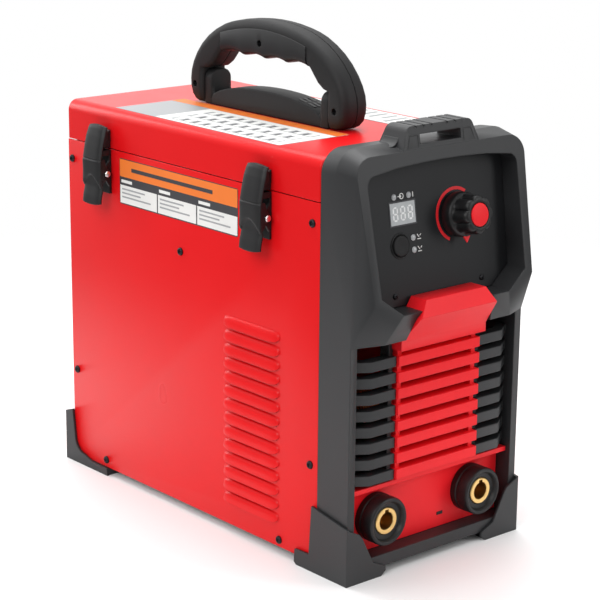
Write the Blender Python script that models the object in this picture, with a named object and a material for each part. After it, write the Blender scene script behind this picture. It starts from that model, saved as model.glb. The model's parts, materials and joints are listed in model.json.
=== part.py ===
"""Stick welding inverter: sheet-metal case, hinged storage lid with carrying handle, moulded front.

Metres, +Z up, the front faces -Y, and the latches are on the -X side. The world origin is the
bottom centre of the whole object's box. Everything is modelled in the case's own frame and then
carried to the world by the empty `case_frame`: x = 0 is the case's middle plane, y = 0 the front
edge of the sheet metal, z = 0 the underside of the case.
"""
import math

import bmesh
import bpy
from mathutils import Matrix, Vector

# ---------------------------------------------------------------- driving dimensions
WIDTH = 0.173            # sheet-metal case, outside
DEPTH = 0.311            # sheet-metal case, front edge to back edge
SEAM = 0.2704            # height of the joint between case and lid
LID_HEIGHT = 0.0321      # lid skirt and top
LID_BEND = 0.0085        # outside radius of the lid's folded long edges
SHEET = 0.0015           # sheet-metal thickness
GAP = 0.0003             # clearance between touching pieces
FIT = 0.0006             # clearance of a moulding in its opening
SEAM_GAP = 0.0008        # visible line between case and lid

FOOT_HEIGHT = 0.0065     # corner guards below the case
GUARD = 0.002            # corner guards outside the case walls
REAR_GUARD = 0.0095      # rear guards behind the case

HOOD_TOP = 0.0065        # hood above the lid's top
HOOD_LEAN = 0.187        # the hood's front face leans back this much per unit of height
HOOD_CHIN_Y = -0.052     # foremost edge of the hood
HOOD_CHIN_Z = 0.1948     # underside of the control recess
LOWER_FACE_Y = -0.0335   # front face of the lower moulding
RIM = 0.0063             # width of the lower moulding's side rims
LIP = 0.009              # height of the lip under the sockets

PANEL_TILT = math.radians(8.8)
PANEL_Y = -0.0251        # front of the control panel at PANEL_Z
PANEL_Z = 0.250
PANEL_T = 0.002

SLATS = 8
SLAT_PITCH = 0.01223
SLAT_HEIGHT = 0.0075
SLAT_FIRST = 0.151       # underside of the top slat
TRIM_HALF = 0.041        # half width of the coloured slats

SOCKET_INSET = 0.0378     # socket axis inside the case's side
SOCKET_Z = 0.0347
SOCKET_FACE_Y = -0.037
SOCKET_R = 0.0184
CONTACT_R = 0.0103
BORE_R = 0.0066
PLATE_Y = -0.020         # front of the socket plate
PLATE_TOP = 0.0600

FRONT_LATCH = 0.0623      # front latch behind the case's front edge
REAR_LATCH = 0.0505       # rear latch before its back edge
LATCH_W = 0.0240
LATCH_OUT = 0.0155       # how far a latch stands out of the side
LATCH_PIN_U = 0.0058
LATCH_PIN_DROP = 0.0189  # pin below the seam
KEEPER_OUT = 0.0042

HANDLE_SHIFT = 0.0015     # handle before the middle of the lid
HANDLE_HALF = 0.1010
HANDLE_RISE = 0.0740
HANDLE_HALF_W = 0.0130
EAR_T = 0.0085
EAR_H = 0.0275
EAR_HALF_W = 0.0100
BASE_HALF = 0.0745
HANDLE_BASE_END = 0.0050     # height of the handle base's arch at its ends
HANDLE_BASE_ARCH = 0.0190    # and at its middle
GRIP_UNDER = 0.0450      # underside of the grip above the lid
GRIP_SEAT = 0.0580       # top of the grip insert above the lid
GRIP_HALF = 0.0515

HINGE_R = 0.003
HINGE_PIN_R = 0.0012
HINGE_LEAF = 0.0012
HINGE_LEAF_W = 0.018
HINGE_HALF = 0.120
KNUCKLES = 5

LOUVRES = 14
LOUVRE_PITCH = 0.0108
LOUVRE_TOP = 0.1670
LOUVRE_Y = (0.0425, 0.1080)
LOUVRE_H = 0.0085
LOUVRE_OUT = 0.0032

KNOB_X = 0.0225
KNOB_S = 0.0022          # knob centre above PANEL_Z, along the panel
KNOB_R = 0.0165
KNOB_H = 0.0245
SHAFT_R = 0.003
BUTTON_X = -0.0348
BUTTON_S = -0.0128
BUTTON_R = 0.0078
BUTTON_OUT = 0.0022
DISPLAY_X = -0.0298
DISPLAY_S = 0.0100
DISPLAY_HALF = (0.0120, 0.0079)
LED_R = 0.0018
LEDS = {
    "led_input": (-0.0372, 0.0222),
    "led_output": (-0.0228, 0.0222),
    "led_mode_upper": (-0.0216, -0.0086),
    "led_mode_lower": (-0.0215, -0.0174),
}

FAN_Z = 0.112
FAN_HALF = 0.046
FAN_DEPTH = 0.025
FAN_BORE = 0.0435
FAN_HUB = 0.0165
BLADES = 7

SWITCH_X = -0.046
SWITCH_Z = 0.196
SWITCH_HALF = (0.0125, 0.0095)
ROCKER_REST = math.radians(10)
GLAND_X = 0.046
GLAND_BORE = 0.0048

TRAY_DEPTH = 0.040       # storage compartment under the lid
BOARD_Z = 0.066
BOARD_Y = 0.034           # front edge of the power board
BOARD_BACK = 0.043        # its back edge before the case's
HEATSINK_BACK = 0.111     # the heatsink's back end before the case's
CHOKE_INSET = 0.0445      # choke's axis inside the case's side

# ---------------------------------------------------------------- worked out from the above
HALF = WIDTH / 2
LID_TOP = SEAM + LID_HEIGHT
SOCKET_X = HALF - SOCKET_INSET
INSIDE = HALF - SHEET - GAP
BACK_IN = DEPTH - 0.0045             # outer face of the rear panel
HANDLE_Y = DEPTH / 2 - HANDLE_SHIFT
LATCH_YS = (FRONT_LATCH, DEPTH - REAR_LATCH)
HINGE_X = HALF + HINGE_R + 0.0005
LATCH_PIN_Z = SEAM - LATCH_PIN_DROP
HOOD_FACE_0 = HOOD_CHIN_Y - HOOD_LEAN * HOOD_CHIN_Z
EAR_Y = BASE_HALF - EAR_T
RIGHT_EDGE = HINGE_X + HINGE_R
LEFT_EDGE = HALF + LATCH_OUT
CASE_X = (LEFT_EDGE - RIGHT_EDGE) / 2
CHIN_FRONT = -0.0545                 # nose of the coloured trim, the object's foremost point
CASE_Y = -(DEPTH + REAR_GUARD + CHIN_FRONT) / 2
PAINT = "paint_red"


# ---------------------------------------------------------------- helpers
def clear_scene():
    for obj in list(bpy.data.objects):
        bpy.data.objects.remove(obj, do_unlink=True)


def material(name, colour, roughness, metallic=0.0):
    mat = bpy.data.materials.new(name)
    mat.use_nodes = True
    shader = mat.node_tree.nodes["Principled BSDF"]
    shader.inputs["Base Color"].default_value = (*colour, 1.0)
    shader.inputs["Roughness"].default_value = roughness
    shader.inputs["Metallic"].default_value = metallic
    return mat


def make_materials():
    return {
        "paint_red": material("paint_red", (0.72, 0.012, 0.018), 0.28),
        "trim_red": material("trim_red", (0.80, 0.014, 0.022), 0.35),
        "plastic_dark": material("plastic_dark", (0.045, 0.045, 0.048), 0.55),
        "plastic_black": material("plastic_black", (0.018, 0.018, 0.020), 0.45),
        "panel_grey": material("panel_grey", (0.055, 0.056, 0.060), 0.5),
        "display_grey": material("display_grey", (0.55, 0.57, 0.58), 0.3),
        "led_grey": material("led_grey", (0.5, 0.5, 0.5), 0.3),
        "brass": material("brass", (0.75, 0.52, 0.22), 0.3, 1.0),
        "copper": material("copper", (0.75, 0.35, 0.2), 0.35, 1.0),
        "steel": material("steel", (0.55, 0.55, 0.56), 0.4, 1.0),
        "aluminium": material("aluminium", (0.7, 0.71, 0.72), 0.4, 1.0),
        "ferrite": material("ferrite", (0.05, 0.05, 0.055), 0.6),
        "board_green": material("board_green", (0.02, 0.16, 0.06), 0.5),
        "sleeve": material("sleeve", (0.03, 0.05, 0.14), 0.4),
    }


def mesh_object(name, bm):
    bmesh.ops.remove_doubles(bm, verts=bm.verts, dist=1e-6)
    bmesh.ops.recalc_face_normals(bm, faces=bm.faces)
    mesh = bpy.data.meshes.new(name)
    bm.to_mesh(mesh)
    bm.free()
    obj = bpy.data.objects.new(name, mesh)
    bpy.context.scene.collection.objects.link(obj)
    return obj


def prism(name, outline, axis, low, high):
    """Outline extruded along an axis; its points are the other two axes, in X, Y, Z order."""
    def at(point, level):
        p = list(point)
        p.insert("XYZ".index(axis), level)
        return p
    bm = bmesh.new()
    ends = [[bm.verts.new(at(p, level)) for p in outline] for level in (low, high)]
    for ring in ends:
        bm.faces.new(ring)
    count = len(outline)
    for i in range(count):
        j = (i + 1) % count
        bm.faces.new((ends[0][i], ends[0][j], ends[1][j], ends[1][i]))
    return mesh_object(name, bm)


def box(name, low, high):
    outline = [(low[0], low[1]), (high[0], low[1]), (high[0], high[1]), (low[0], high[1])]
    return prism(name, outline, "Z", low[2], high[2])


def hull(name, points):
    bm = bmesh.new()
    for p in points:
        bm.verts.new(p)
    found = bmesh.ops.convex_hull(bm, input=bm.verts)
    spare = {v for v in found["geom_interior"] if isinstance(v, bmesh.types.BMVert)}
    bmesh.ops.delete(bm, geom=list(spare), context="VERTS")
    return mesh_object(name, bm)


def turned(name, profile, axis, centre, sides=32):
    """Closed outline of (radius, height) turned about an axis through centre."""
    bm = bmesh.new()
    rings = []
    for radius, height in profile:
        if radius < 1e-7:
            rings.append([bm.verts.new((0, 0, height))])
            continue
        turn = [2 * math.pi * i / sides for i in range(sides)]
        rings.append([bm.verts.new((radius * math.cos(a), radius * math.sin(a), height))
                      for a in turn])
    for first, second in zip(rings, rings[1:] + rings[:1]):
        for i in range(sides):
            j = (i + 1) % sides
            corners = [first[i % len(first)], first[j % len(first)],
                       second[j % len(second)], second[i % len(second)]]
            unique = list(dict.fromkeys(corners))
            if len(unique) > 2:
                bm.faces.new(unique)
    turn_to = {"X": Matrix.Rotation(math.pi / 2, 4, "Y"),
               "Y": Matrix.Rotation(-math.pi / 2, 4, "X"),
               "Z": Matrix.Identity(4)}[axis]
    bmesh.ops.transform(bm, matrix=Matrix.Translation(centre) @ turn_to, verts=bm.verts)
    return mesh_object(name, bm)


def rod(name, radius, axis, centre, low, high, sides=24):
    """Solid round bar; low and high are measured from centre along the axis."""
    return turned(name, [(0, low), (radius, low), (radius, high), (0, high)], axis, centre, sides)


def merge(target, others):
    """Several meshes as one operand, for a Boolean that takes them all at once."""
    bm = bmesh.new()
    for obj in [target] + others:
        bm.from_mesh(obj.data)
    bm.to_mesh(target.data)
    bm.free()
    for obj in others:
        bpy.data.objects.remove(obj, do_unlink=True)
    return target


def combine(target, operand, operation):
    """Applies a Boolean and removes the operand."""
    modifier = target.modifiers.new(operation.lower(), "BOOLEAN")
    modifier.operation = operation
    modifier.solver = "EXACT"
    modifier.object = operand
    bpy.context.view_layer.update()
    depsgraph = bpy.context.evaluated_depsgraph_get()
    result = bpy.data.meshes.new_from_object(target.evaluated_get(depsgraph))
    target.modifiers.clear()
    target.data = result
    bpy.data.objects.remove(operand, do_unlink=True)
    return target


def add(target, *others):
    for other in others:
        combine(target, other, "UNION")
    return target


def cut(target, *others):
    for other in others:
        combine(target, other, "DIFFERENCE")
    return target


def keep(obj, mat, parent, origin=(0, 0, 0), smooth=False):
    """Gives a finished piece its material, parent and origin, the point it turns about."""
    origin = Vector(origin)
    obj.data.transform(Matrix.Translation(-origin))
    obj.location = origin
    obj.parent = parent
    obj.data.materials.clear()
    obj.data.materials.append(mat)
    if smooth:
        obj.data.shade_smooth()
        obj.data.set_sharp_from_angle(angle=math.radians(35))
    return obj


def arc(centre, radius, start, end, steps):
    """Points on an arc; angles in degrees."""
    turn = [math.radians(start + (end - start) * i / steps) for i in range(steps + 1)]
    return [(centre[0] + radius * math.cos(a), centre[1] + radius * math.sin(a)) for a in turn]


def mirrored(right):
    """An outline's right half, from the bottom up, closed by its own mirror image."""
    return right + [(-x, z) for x, z in reversed(right) if x > 1e-9]


# ---------------------------------------------------------------- case
def base_tray(mats, root):
    back = BACK_IN - 0.0125
    wall = 0.013
    tray = box("base_tray", (-INSIDE, 0.003, 0), (INSIDE, back, wall))
    cut(tray, box("hollow", (-INSIDE + SHEET, 0.003 + SHEET, SHEET),
                  (INSIDE - SHEET, back - SHEET, wall + 0.01)))
    keep(tray, mats["steel"], root)


def louvre_outline(top):
    """One pressed louvre seen along Y: (x outward, z). It is closed at the top and open below."""
    return [(-0.0004, top), (0.6 * LOUVRE_OUT, top - 0.0012), (LOUVRE_OUT, top - 0.0040),
            (LOUVRE_OUT, top - LOUVRE_H), (LOUVRE_OUT - 0.0008, top - LOUVRE_H),
            (LOUVRE_OUT - 0.0010, top - 0.0044), (-0.0004, top - 0.0026)]


def side_panel(mats, root, name, side):
    """A flat side with a pressed louvre field near the front."""
    inner, outer = sorted((side * (HALF - SHEET), side * HALF))
    panel = box(name, (inner, 0, 0), (outer, DEPTH, SEAM))
    low_y, high_y = LOUVRE_Y
    slots, hoods = [], []
    for i in range(LOUVRES):
        top = LOUVRE_TOP - i * LOUVRE_PITCH
        slots.append(box("slot", (inner - 0.002, low_y + 0.001, top - LOUVRE_H),
                         (outer + 0.002, high_y - 0.001, top - 0.0032)))
        shape = [(side * (HALF + x), z) for x, z in louvre_outline(top)]
        hoods.append(prism("hood", shape, "Y", low_y, high_y))
    cut(panel, merge(slots[0], slots[1:]))
    add(panel, merge(hoods[0], hoods[1:]))
    keep(panel, mats[PAINT], root)


def rear_panel(mats, root):
    low = 0.002
    high = SEAM - 0.001
    front = BACK_IN - 0.012
    panel = box("rear_panel", (-INSIDE, front, low), (INSIDE, BACK_IN, high))
    cut(panel,
        box("hollow", (-INSIDE + SHEET, front - 0.001, low - 0.001),
            (INSIDE - SHEET, BACK_IN - SHEET, high + 0.001)),
        rod("fan_hole", FAN_BORE - 0.0015, "Y", (0, BACK_IN, FAN_Z), -0.01, 0.01, 32),
        box("switch_hole", (SWITCH_X - SWITCH_HALF[0] - 0.0013, front, SWITCH_Z - SWITCH_HALF[1] - 0.0013),
            (SWITCH_X + SWITCH_HALF[0] + 0.0013, DEPTH, SWITCH_Z + SWITCH_HALF[1] + 0.0013)),
        rod("gland_hole", GLAND_BORE + 0.0043, "Y", (GLAND_X, BACK_IN, SWITCH_Z), -0.01, 0.01))
    keep(panel, mats[PAINT], root)


def storage_tray(mats, root):
    """The compartment under the lid, an open tray that also covers the electronics."""
    half = INSIDE - 0.0005
    low_y, high_y = 0.004, BACK_IN - 0.013
    floor = SEAM - TRAY_DEPTH
    tray = box("storage_tray", (-half, low_y, floor), (half, high_y, SEAM - 0.0006))
    cut(tray, box("hollow", (-half + SHEET, low_y + SHEET, floor + SHEET),
                  (half - SHEET, high_y - SHEET, SEAM + 0.01)))
    keep(tray, mats["plastic_dark"], root)


def lid_section(inset, low):
    """The lid seen from the front, with its long edges bent."""
    half = HALF - inset
    top = LID_TOP - inset
    bend = LID_BEND - inset
    corner = arc((half - bend, top - bend), bend, 0, 90, 4)
    return mirrored([(half, low)] + corner)


def lid(mats, root, hinge_at):
    low = SEAM + SEAM_GAP
    shell = prism("lid", lid_section(0, low), "Y", GAP, DEPTH)
    cut(shell, prism("hollow", lid_section(SHEET, low - 0.01), "Y", GAP + SHEET, DEPTH - SHEET))
    keep(shell, mats[PAINT], root, hinge_at)


def hinge_leaf(name, upward, own):
    """A leaf with every second knuckle; `own` says which ones."""
    near = HALF + GAP
    out = near + HINGE_LEAF
    clear = HINGE_R + 0.0005
    low, high = sorted((SEAM + upward * clear, SEAM + upward * HINGE_LEAF_W))
    middle = DEPTH / 2
    leaf = box(name, (near, middle - HINGE_HALF, low), (out, middle + HINGE_HALF, high))
    length = 2 * HINGE_HALF / KNUCKLES
    straps, tubes = [], []
    for i in range(own, KNUCKLES, 2):
        start = middle - HINGE_HALF + i * length + GAP
        end = start + length - 2 * GAP
        low, high = sorted((SEAM, SEAM + upward * (clear + 0.0004)))
        straps.append(box("strap", (near, start, low), (out, end, high)))
        tubes.append(rod("knuckle", HINGE_R, "Y", (HINGE_X, start, SEAM), 0, end - start, 16))
    add(leaf, merge(straps[0], straps[1:]), merge(tubes[0], tubes[1:]))
    bore = rod("bore", HINGE_PIN_R + 0.0002, "Y", (HINGE_X, middle, SEAM), -0.2, 0.2, 16)
    return cut(leaf, bore)


def lid_hinge(mats, root, hinge_at):
    keep(hinge_leaf("hinge_case_leaf", -1, 0), mats["steel"], root)
    keep(hinge_leaf("hinge_lid_leaf", 1, 1), mats["steel"], root, hinge_at)
    pin = rod("hinge_pin", HINGE_PIN_R, "Y", (HINGE_X, DEPTH / 2, SEAM),
              -HINGE_HALF - 0.002, HINGE_HALF + 0.002, 16)
    keep(pin, mats["steel"], root, smooth=True)


# ---------------------------------------------------------------- latches
def outboard(points):
    """Points given as (distance out of the left side, height) in the X-Z plane."""
    return [(-(HALF + u), z) for u, z in points]


def latch_base(mats, root, name, y):
    """Back plate on the case with the two inner cheeks that carry the pin."""
    half = LATCH_W / 2 - 0.0026
    pin = LATCH_PIN_Z
    plate = [(GAP, pin - 0.0165), (GAP, pin + 0.0150), (0.0022, pin + 0.0150), (0.0022, pin - 0.0165)]
    base = prism(name, outboard(plate), "Y", y - half, y + half)
    cheek = [(0.0015, pin - 0.0120), (0.0060, pin - 0.0045), (0.0086, pin - 0.0020),
             (0.0086, pin + 0.0020), (0.0060, pin + 0.0045), (0.0015, pin + 0.0110)]
    for low in (y - half, y + half - 0.002):
        add(base, prism("cheek", outboard(cheek), "Y", low, low + 0.002))
    cut(base, rod("pin_hole", 0.0017, "Y", (-(HALF + LATCH_PIN_U), y, pin), -0.02, 0.02, 16))
    keep(base, mats["plastic_black"], root)


def latch_lever(mats, root, name, y):
    """The rocking lever: pressing its flared foot swings its tip off the keeper."""
    half = LATCH_W / 2
    pin = LATCH_PIN_Z
    skin = [(0.0051, SEAM + 0.0190), (0.0078, SEAM + 0.0195), (0.0108, SEAM + 0.0120),
            (0.0136, SEAM - 0.0070), (0.0150, SEAM - 0.0085), (0.0142, pin - 0.0020),
            (0.0136, pin - 0.0100), (LATCH_OUT, pin - 0.0240), (0.0142, pin - 0.0248),
            (0.0118, pin - 0.0100), (0.0122, pin + 0.0060), (0.0096, SEAM + 0.0045),
            (0.0051, SEAM + 0.0090)]
    lever = prism(name, outboard(skin), "Y", y - half, y + half)
    cheek = [(0.0134, SEAM - 0.0080), (0.0128, pin - 0.0110), (LATCH_PIN_U, pin - 0.0034),
             (LATCH_PIN_U - 0.0030, pin - 0.0014), (LATCH_PIN_U - 0.0030, pin + 0.0022),
             (LATCH_PIN_U, pin + 0.0042), (0.0110, SEAM + 0.0010)]
    for low in (y - half, y + half - 0.0022):
        add(lever, prism("cheek", outboard(cheek), "Y", low, low + 0.0022))
    pin_at = (-(HALF + LATCH_PIN_U), y, pin)
    cut(lever, rod("pin_hole", 0.0017, "Y", pin_at, -0.02, 0.02, 16))
    keep(lever, mats["plastic_black"], root, pin_at)


def latch_pin(mats, root, name, y):
    reach = LATCH_W / 2 + 0.0004
    head = [(0, -reach - 0.0008), (0.0020, -reach - 0.0008), (0.0026, -reach), (0.0015, -reach),
            (0.0015, reach), (0, reach)]
    pin = turned(name, head, "Y", (-(HALF + LATCH_PIN_U), y, LATCH_PIN_Z), 16)
    keep(pin, mats["steel"], root, smooth=True)


def latch_keeper(mats, root, name, y, hinge_at):
    """A ridge on the lid's skirt behind the lever's tip."""
    low = SEAM + 0.0060
    ridge = [(GAP, low), (0.0030, low), (KEEPER_OUT, low + 0.0060), (KEEPER_OUT, low + 0.0080),
             (GAP, low + 0.0095)]
    half = LATCH_W / 2 - 0.003
    keeper = prism(name, outboard(ridge), "Y", y - half, y + half)
    keep(keeper, mats["plastic_black"], root, hinge_at)


def latches(mats, root, hinge_at):
    for prefix, y in zip(("front", "rear"), LATCH_YS):
        latch_base(mats, root, prefix + "_latch_base", y)
        latch_lever(mats, root, prefix + "_latch_lever", y)
        latch_pin(mats, root, prefix + "_latch_pin", y)
        latch_keeper(mats, root, prefix + "_latch_keeper", y, hinge_at)


# ---------------------------------------------------------------- handle
def handle_base(mats, root, hinge_at):
    """A low arched saddle with an upright ear at each end."""
    low = LID_TOP + GAP
    steps = 12
    crown = [(HANDLE_Y + EAR_Y * math.cos(math.pi * i / steps),
              low + HANDLE_BASE_END + (HANDLE_BASE_ARCH - HANDLE_BASE_END) * math.sin(math.pi * i / steps))
             for i in range(steps + 1)]
    right = HANDLE_Y + BASE_HALF
    left = HANDLE_Y - BASE_HALF
    ear = low + EAR_H
    outline = [(left, low), (right, low), (right, ear), (right - EAR_T, ear)] + crown
    outline += [(left + EAR_T, ear), (left, ear)]
    base = prism("handle_base", outline, "X", -EAR_HALF_W, EAR_HALF_W)
    keep(base, mats["plastic_dark"], root, hinge_at)


def handle_arch(steps=24):
    """Outer edge of the handle, front foot to rear foot, as (y, z)."""
    foot = 0.0095
    rise = HANDLE_RISE - foot
    power = 2 / 1.75
    points = []
    for i in range(steps + 1):
        a = math.pi * i / steps
        c, s = math.cos(a), math.sin(a)
        y = HANDLE_Y - math.copysign(abs(c) ** power, c) * HANDLE_HALF
        points.append((y, LID_TOP + foot + max(s, 0) ** power * rise))
    low = LID_TOP + 0.0015
    return [(HANDLE_Y - HANDLE_HALF + 0.011, low)] + points + [(HANDLE_Y + HANDLE_HALF - 0.011, low)]


def handle_shell(mats, root, name, side, hinge_at):
    """One half of the handle: it wraps the ears and holds the grip insert."""
    outer_ear = BASE_HALF + GAP
    over_ear = LID_TOP + GAP + EAR_H + GAP
    low = LID_TOP + 0.0015
    seat = LID_TOP + GRIP_SEAT
    under = LID_TOP + GRIP_UNDER
    inner_ear = BASE_HALF - EAR_T - 0.001
    half = [(outer_ear, low), (outer_ear, over_ear), (inner_ear, over_ear),
            (GRIP_HALF + 0.003, under), (GRIP_HALF + GAP, under), (GRIP_HALF + GAP, seat + GAP)]
    under_side = [(HANDLE_Y + y, z) for y, z in half] + [(HANDLE_Y - y, z) for y, z in reversed(half)]
    inner, outer = sorted((side * GAP / 2, side * HANDLE_HALF_W))
    shell = prism(name, handle_arch() + under_side, "X", inner, outer)
    keep(shell, mats["plastic_dark"], root, hinge_at)


def grip_insert(mats, root, hinge_at):
    """The finger grip: a bar with four scallops along its underside."""
    seat = LID_TOP + GRIP_SEAT
    under = LID_TOP + GRIP_UNDER
    fingers, steps = 4, 6
    span = 2 * GRIP_HALF / fingers
    scallops = []
    for f in range(fingers):
        for i in range(steps):
            t = i / steps
            scallops.append((HANDLE_Y - GRIP_HALF + span * (f + t),
                             under - 0.0015 + 0.0030 * math.sin(math.pi * t)))
    outline = scallops + [(HANDLE_Y + GRIP_HALF, under - 0.0015), (HANDLE_Y + GRIP_HALF, seat),
                          (HANDLE_Y - GRIP_HALF, seat)]
    insert = prism("handle_grip_insert", outline, "X", -HANDLE_HALF_W, HANDLE_HALF_W)
    keep(insert, mats["plastic_black"], root, hinge_at)


# ---------------------------------------------------------------- front moulding
def hood_face(z):
    """Where the hood's leaning front face is, at a height."""
    return HOOD_FACE_0 + HOOD_LEAN * z


def hood_hull():
    """Outer solid of the hood: leaning front outline, square back outline and the chin."""
    top = LID_TOP + HOOD_TOP
    front = mirrored([(0.0531, HOOD_CHIN_Z), (0.0790, HOOD_CHIN_Z + 0.010), (0.0810, 0.250)]
                     + arc((0.0830 - 0.014, top - 0.003 - 0.014), 0.014, 0, 90, 8))
    middle = mirrored([(0.0860, 0.240)] + arc((0.0860 - 0.018, top + 0.0012 - 0.018), 0.018, 0, 90, 8))
    back = mirrored([(HALF, SLAT_FIRST + 0.021)]
                    + arc((HALF - 0.018, top - 0.018), 0.018, 0, 90, 8))
    chin = mirrored([(0.0633, SLAT_FIRST + 0.022)])
    points = [(x, hood_face(z), z) for x, z in front]
    points += [(x, -GAP, z) for x, z in back]
    points += [(x, -0.0150, z) for x, z in middle]
    points += [(x, -0.0437, z) for x, z in chin]
    points += [(x, LOWER_FACE_Y, HOOD_CHIN_Z - 0.006) for x in (-HALF, HALF)]
    points += [(x, LOWER_FACE_Y, SLAT_FIRST + 0.021) for x in (-HALF, HALF)]
    return hull("front_bezel", points)


def recess_outline(inset):
    """The control recess seen from the front."""
    half = 0.0742 - inset
    low = HOOD_CHIN_Z + inset
    top = LID_TOP - 0.0055 - inset
    corner = arc((half - 0.008, top - 0.012), 0.008, 0, 90, 6)
    bow = [(half * f, top - 0.004 * f * f) for f in (0.6, 0.3, 0)]
    return mirrored([(0.0531 - inset / 2, low), (0.0722 - inset, low + 0.0139)] + corner + bow)


def grab_block():
    """The raised bar on top of the hood, with a window through it."""
    low = LID_TOP
    top = LID_TOP + 0.0200
    face = hood_face(low)
    corners = [(0.0395, face + 0.0005, -0.0040, low), (0.0314, face + 0.0040, -0.0075, top)]
    points = [(sx * x, y, z) for x, y0, y1, z in corners for y in (y0, y1) for sx in (-1, 1)]
    block = hull("block", points)
    window = box("window", (-0.0202, -0.06, top - 0.0131), (0.0202, 0.01, top - 0.0062))
    return block, window


def slat_plan(depth):
    """One side's slat seen from above: it runs straight, then bends back to the rim."""
    front = [(TRIM_HALF + 0.0010, LOWER_FACE_Y), (0.0660, LOWER_FACE_Y), (HALF - RIM + 0.0010, -0.0230)]
    return front + [(x, y + depth) for x, y in reversed(front)]


def lower_moulding():
    """Ring round the grille and sockets, with the slats and their two inner posts."""
    ring = box("lower", (-HALF, LOWER_FACE_Y, 0), (HALF, -GAP, SLAT_FIRST + 0.030))
    cut(ring, box("mouth", (-HALF + RIM, -0.1, LIP), (HALF - RIM, 0.1, SLAT_FIRST + 0.0210)))
    bars = []
    for side in (-1, 1):
        plan = [(side * x, y) for x, y in slat_plan(0.009)]
        for i in range(SLATS):
            low = SLAT_FIRST - i * SLAT_PITCH
            bars.append(prism("slat", plan, "Z", low, low + SLAT_HEIGHT))
    bottom = SLAT_FIRST - (SLATS - 1) * SLAT_PITCH
    posts = [box("post", (side * (TRIM_HALF + 0.0028) - 0.0018, LOWER_FACE_Y + 0.004, bottom),
                 (side * (TRIM_HALF + 0.0028) + 0.0018, -0.0205, SLAT_FIRST + 0.024)) for side in (-1, 1)]
    return ring, merge(bars[0], bars[1:]), merge(posts[0], posts[1:])


def nose_outline(inset):
    """The coloured nose seen from the front, where it sits in the hood's notch."""
    low = SLAT_FIRST + 0.0124
    chin = [(TRIM_HALF + 0.0017 - inset, low), (TRIM_HALF + 0.0017 - inset, SLAT_FIRST + 0.0200),
            (0.0384 - inset, HOOD_CHIN_Z - 0.0055), (0.0300 - inset, HOOD_CHIN_Z + 0.0070)]
    return mirrored(chin)


def front_bezel(mats, root):
    bezel = hood_hull()
    ring, bars, posts = lower_moulding()
    block, window = grab_block()
    add(bezel, ring)
    cut(bezel, prism("recess", recess_outline(0), "Y", -0.1, 0.1))
    add(bezel, bars, posts, block)
    notch = prism("notch", nose_outline(-GAP), "Y", -0.1, -0.0195)
    cut(bezel, notch, window)
    keep(bezel, mats["plastic_dark"], root)


def front_trim(mats, root):
    """Nose shelf over the chin, then eight slats on two webs."""
    back = -0.0200
    low = SLAT_FIRST + 0.0124
    shelf = HOOD_CHIN_Z + 0.0070
    rear_edge = -0.0348
    nose_side = [(rear_edge, shelf), (hood_face(shelf) + 0.0005, shelf), (CHIN_FRONT, HOOD_CHIN_Z - 0.0045),
                 (-0.0393, SLAT_FIRST + 0.0195), (-0.0393, low), (back, low), (back, HOOD_CHIN_Z - 0.004),
                 (rear_edge, HOOD_CHIN_Z - 0.004)]
    trim = prism("front_trim", nose_outline(0), "Y", -0.07, back)
    combine(trim, prism("side", nose_side, "X", -0.06, 0.06), "INTERSECT")
    bars = []
    for i in range(SLATS):
        z = SLAT_FIRST - i * SLAT_PITCH
        bars.append(box("bar", (-TRIM_HALF, LOWER_FACE_Y - 0.002, z),
                        (TRIM_HALF, -0.0240, z + SLAT_HEIGHT)))
    bottom = SLAT_FIRST - (SLATS - 1) * SLAT_PITCH
    webs = [box("web", (side * 0.0375 - 0.002, -0.0320, bottom + 0.001),
                (side * 0.0375 + 0.002, -0.0225, low + 0.004)) for side in (-1, 1)]
    add(trim, merge(bars[0], bars[1:]), merge(webs[0], webs[1:]))
    keep(trim, mats["trim_red"], root)


def socket_plate(mats, root):
    """Plate behind the sockets, with a forward apron along its top edge."""
    half = HALF - RIM - FIT
    low = LIP + GAP
    collar_top = SOCKET_Z + SOCKET_R + FIT
    side = [(PLATE_Y, low), (PLATE_Y, collar_top), (PLATE_Y - 0.0095, PLATE_TOP - 0.001),
            (PLATE_Y - 0.0095, PLATE_TOP + 0.0025), (PLATE_Y + 0.0022, PLATE_TOP + 0.0025),
            (PLATE_Y + 0.0022, low)]
    plate = prism("socket_plate", side, "X", -half, half)
    for x in (-SOCKET_X, SOCKET_X):
        cut(plate, rod("hole", 0.0142, "Y", (x, 0, SOCKET_Z), -0.1, 0.1, 32))
    keep(plate, mats["trim_red"], root)


def socket(mats, root, prefix, x):
    """A bayonet socket: insulating collar round a keyed metal contact."""
    front = SOCKET_FACE_Y
    sleeve = CONTACT_R + GAP
    collar = [(sleeve, front + 0.0032), (SOCKET_R - 0.0042, front + 0.0032), (SOCKET_R - 0.0028, front + 0.0006),
              (SOCKET_R - 0.0012, front), (SOCKET_R, front + 0.0012), (SOCKET_R, PLATE_Y - GAP),
              (0.0139, PLATE_Y - GAP), (0.0139, PLATE_Y + 0.016), (sleeve, PLATE_Y + 0.016)]
    body = turned(prefix + "_socket_body", collar, "Y", (x, 0, SOCKET_Z), 40)
    keep(body, mats["plastic_black"], root, smooth=True)
    start = front + 0.0026
    end = BUSBAR_Y - GAP
    contact_side = [(BORE_R, start), (CONTACT_R, start), (CONTACT_R, end - 0.010), (0.0080, end - 0.010),
                    (0.0080, end), (0, end), (0, start + 0.030), (BORE_R, start + 0.030)]
    contact = turned(prefix + "_socket_contact", contact_side, "Y", (x, 0, SOCKET_Z), 32)
    cut(contact, box("key", (x - 0.0018, start - 0.002, SOCKET_Z), (x + 0.0018, start + 0.024, SOCKET_Z + 0.0088)))
    keep(contact, mats["brass"], root, smooth=True)


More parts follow.
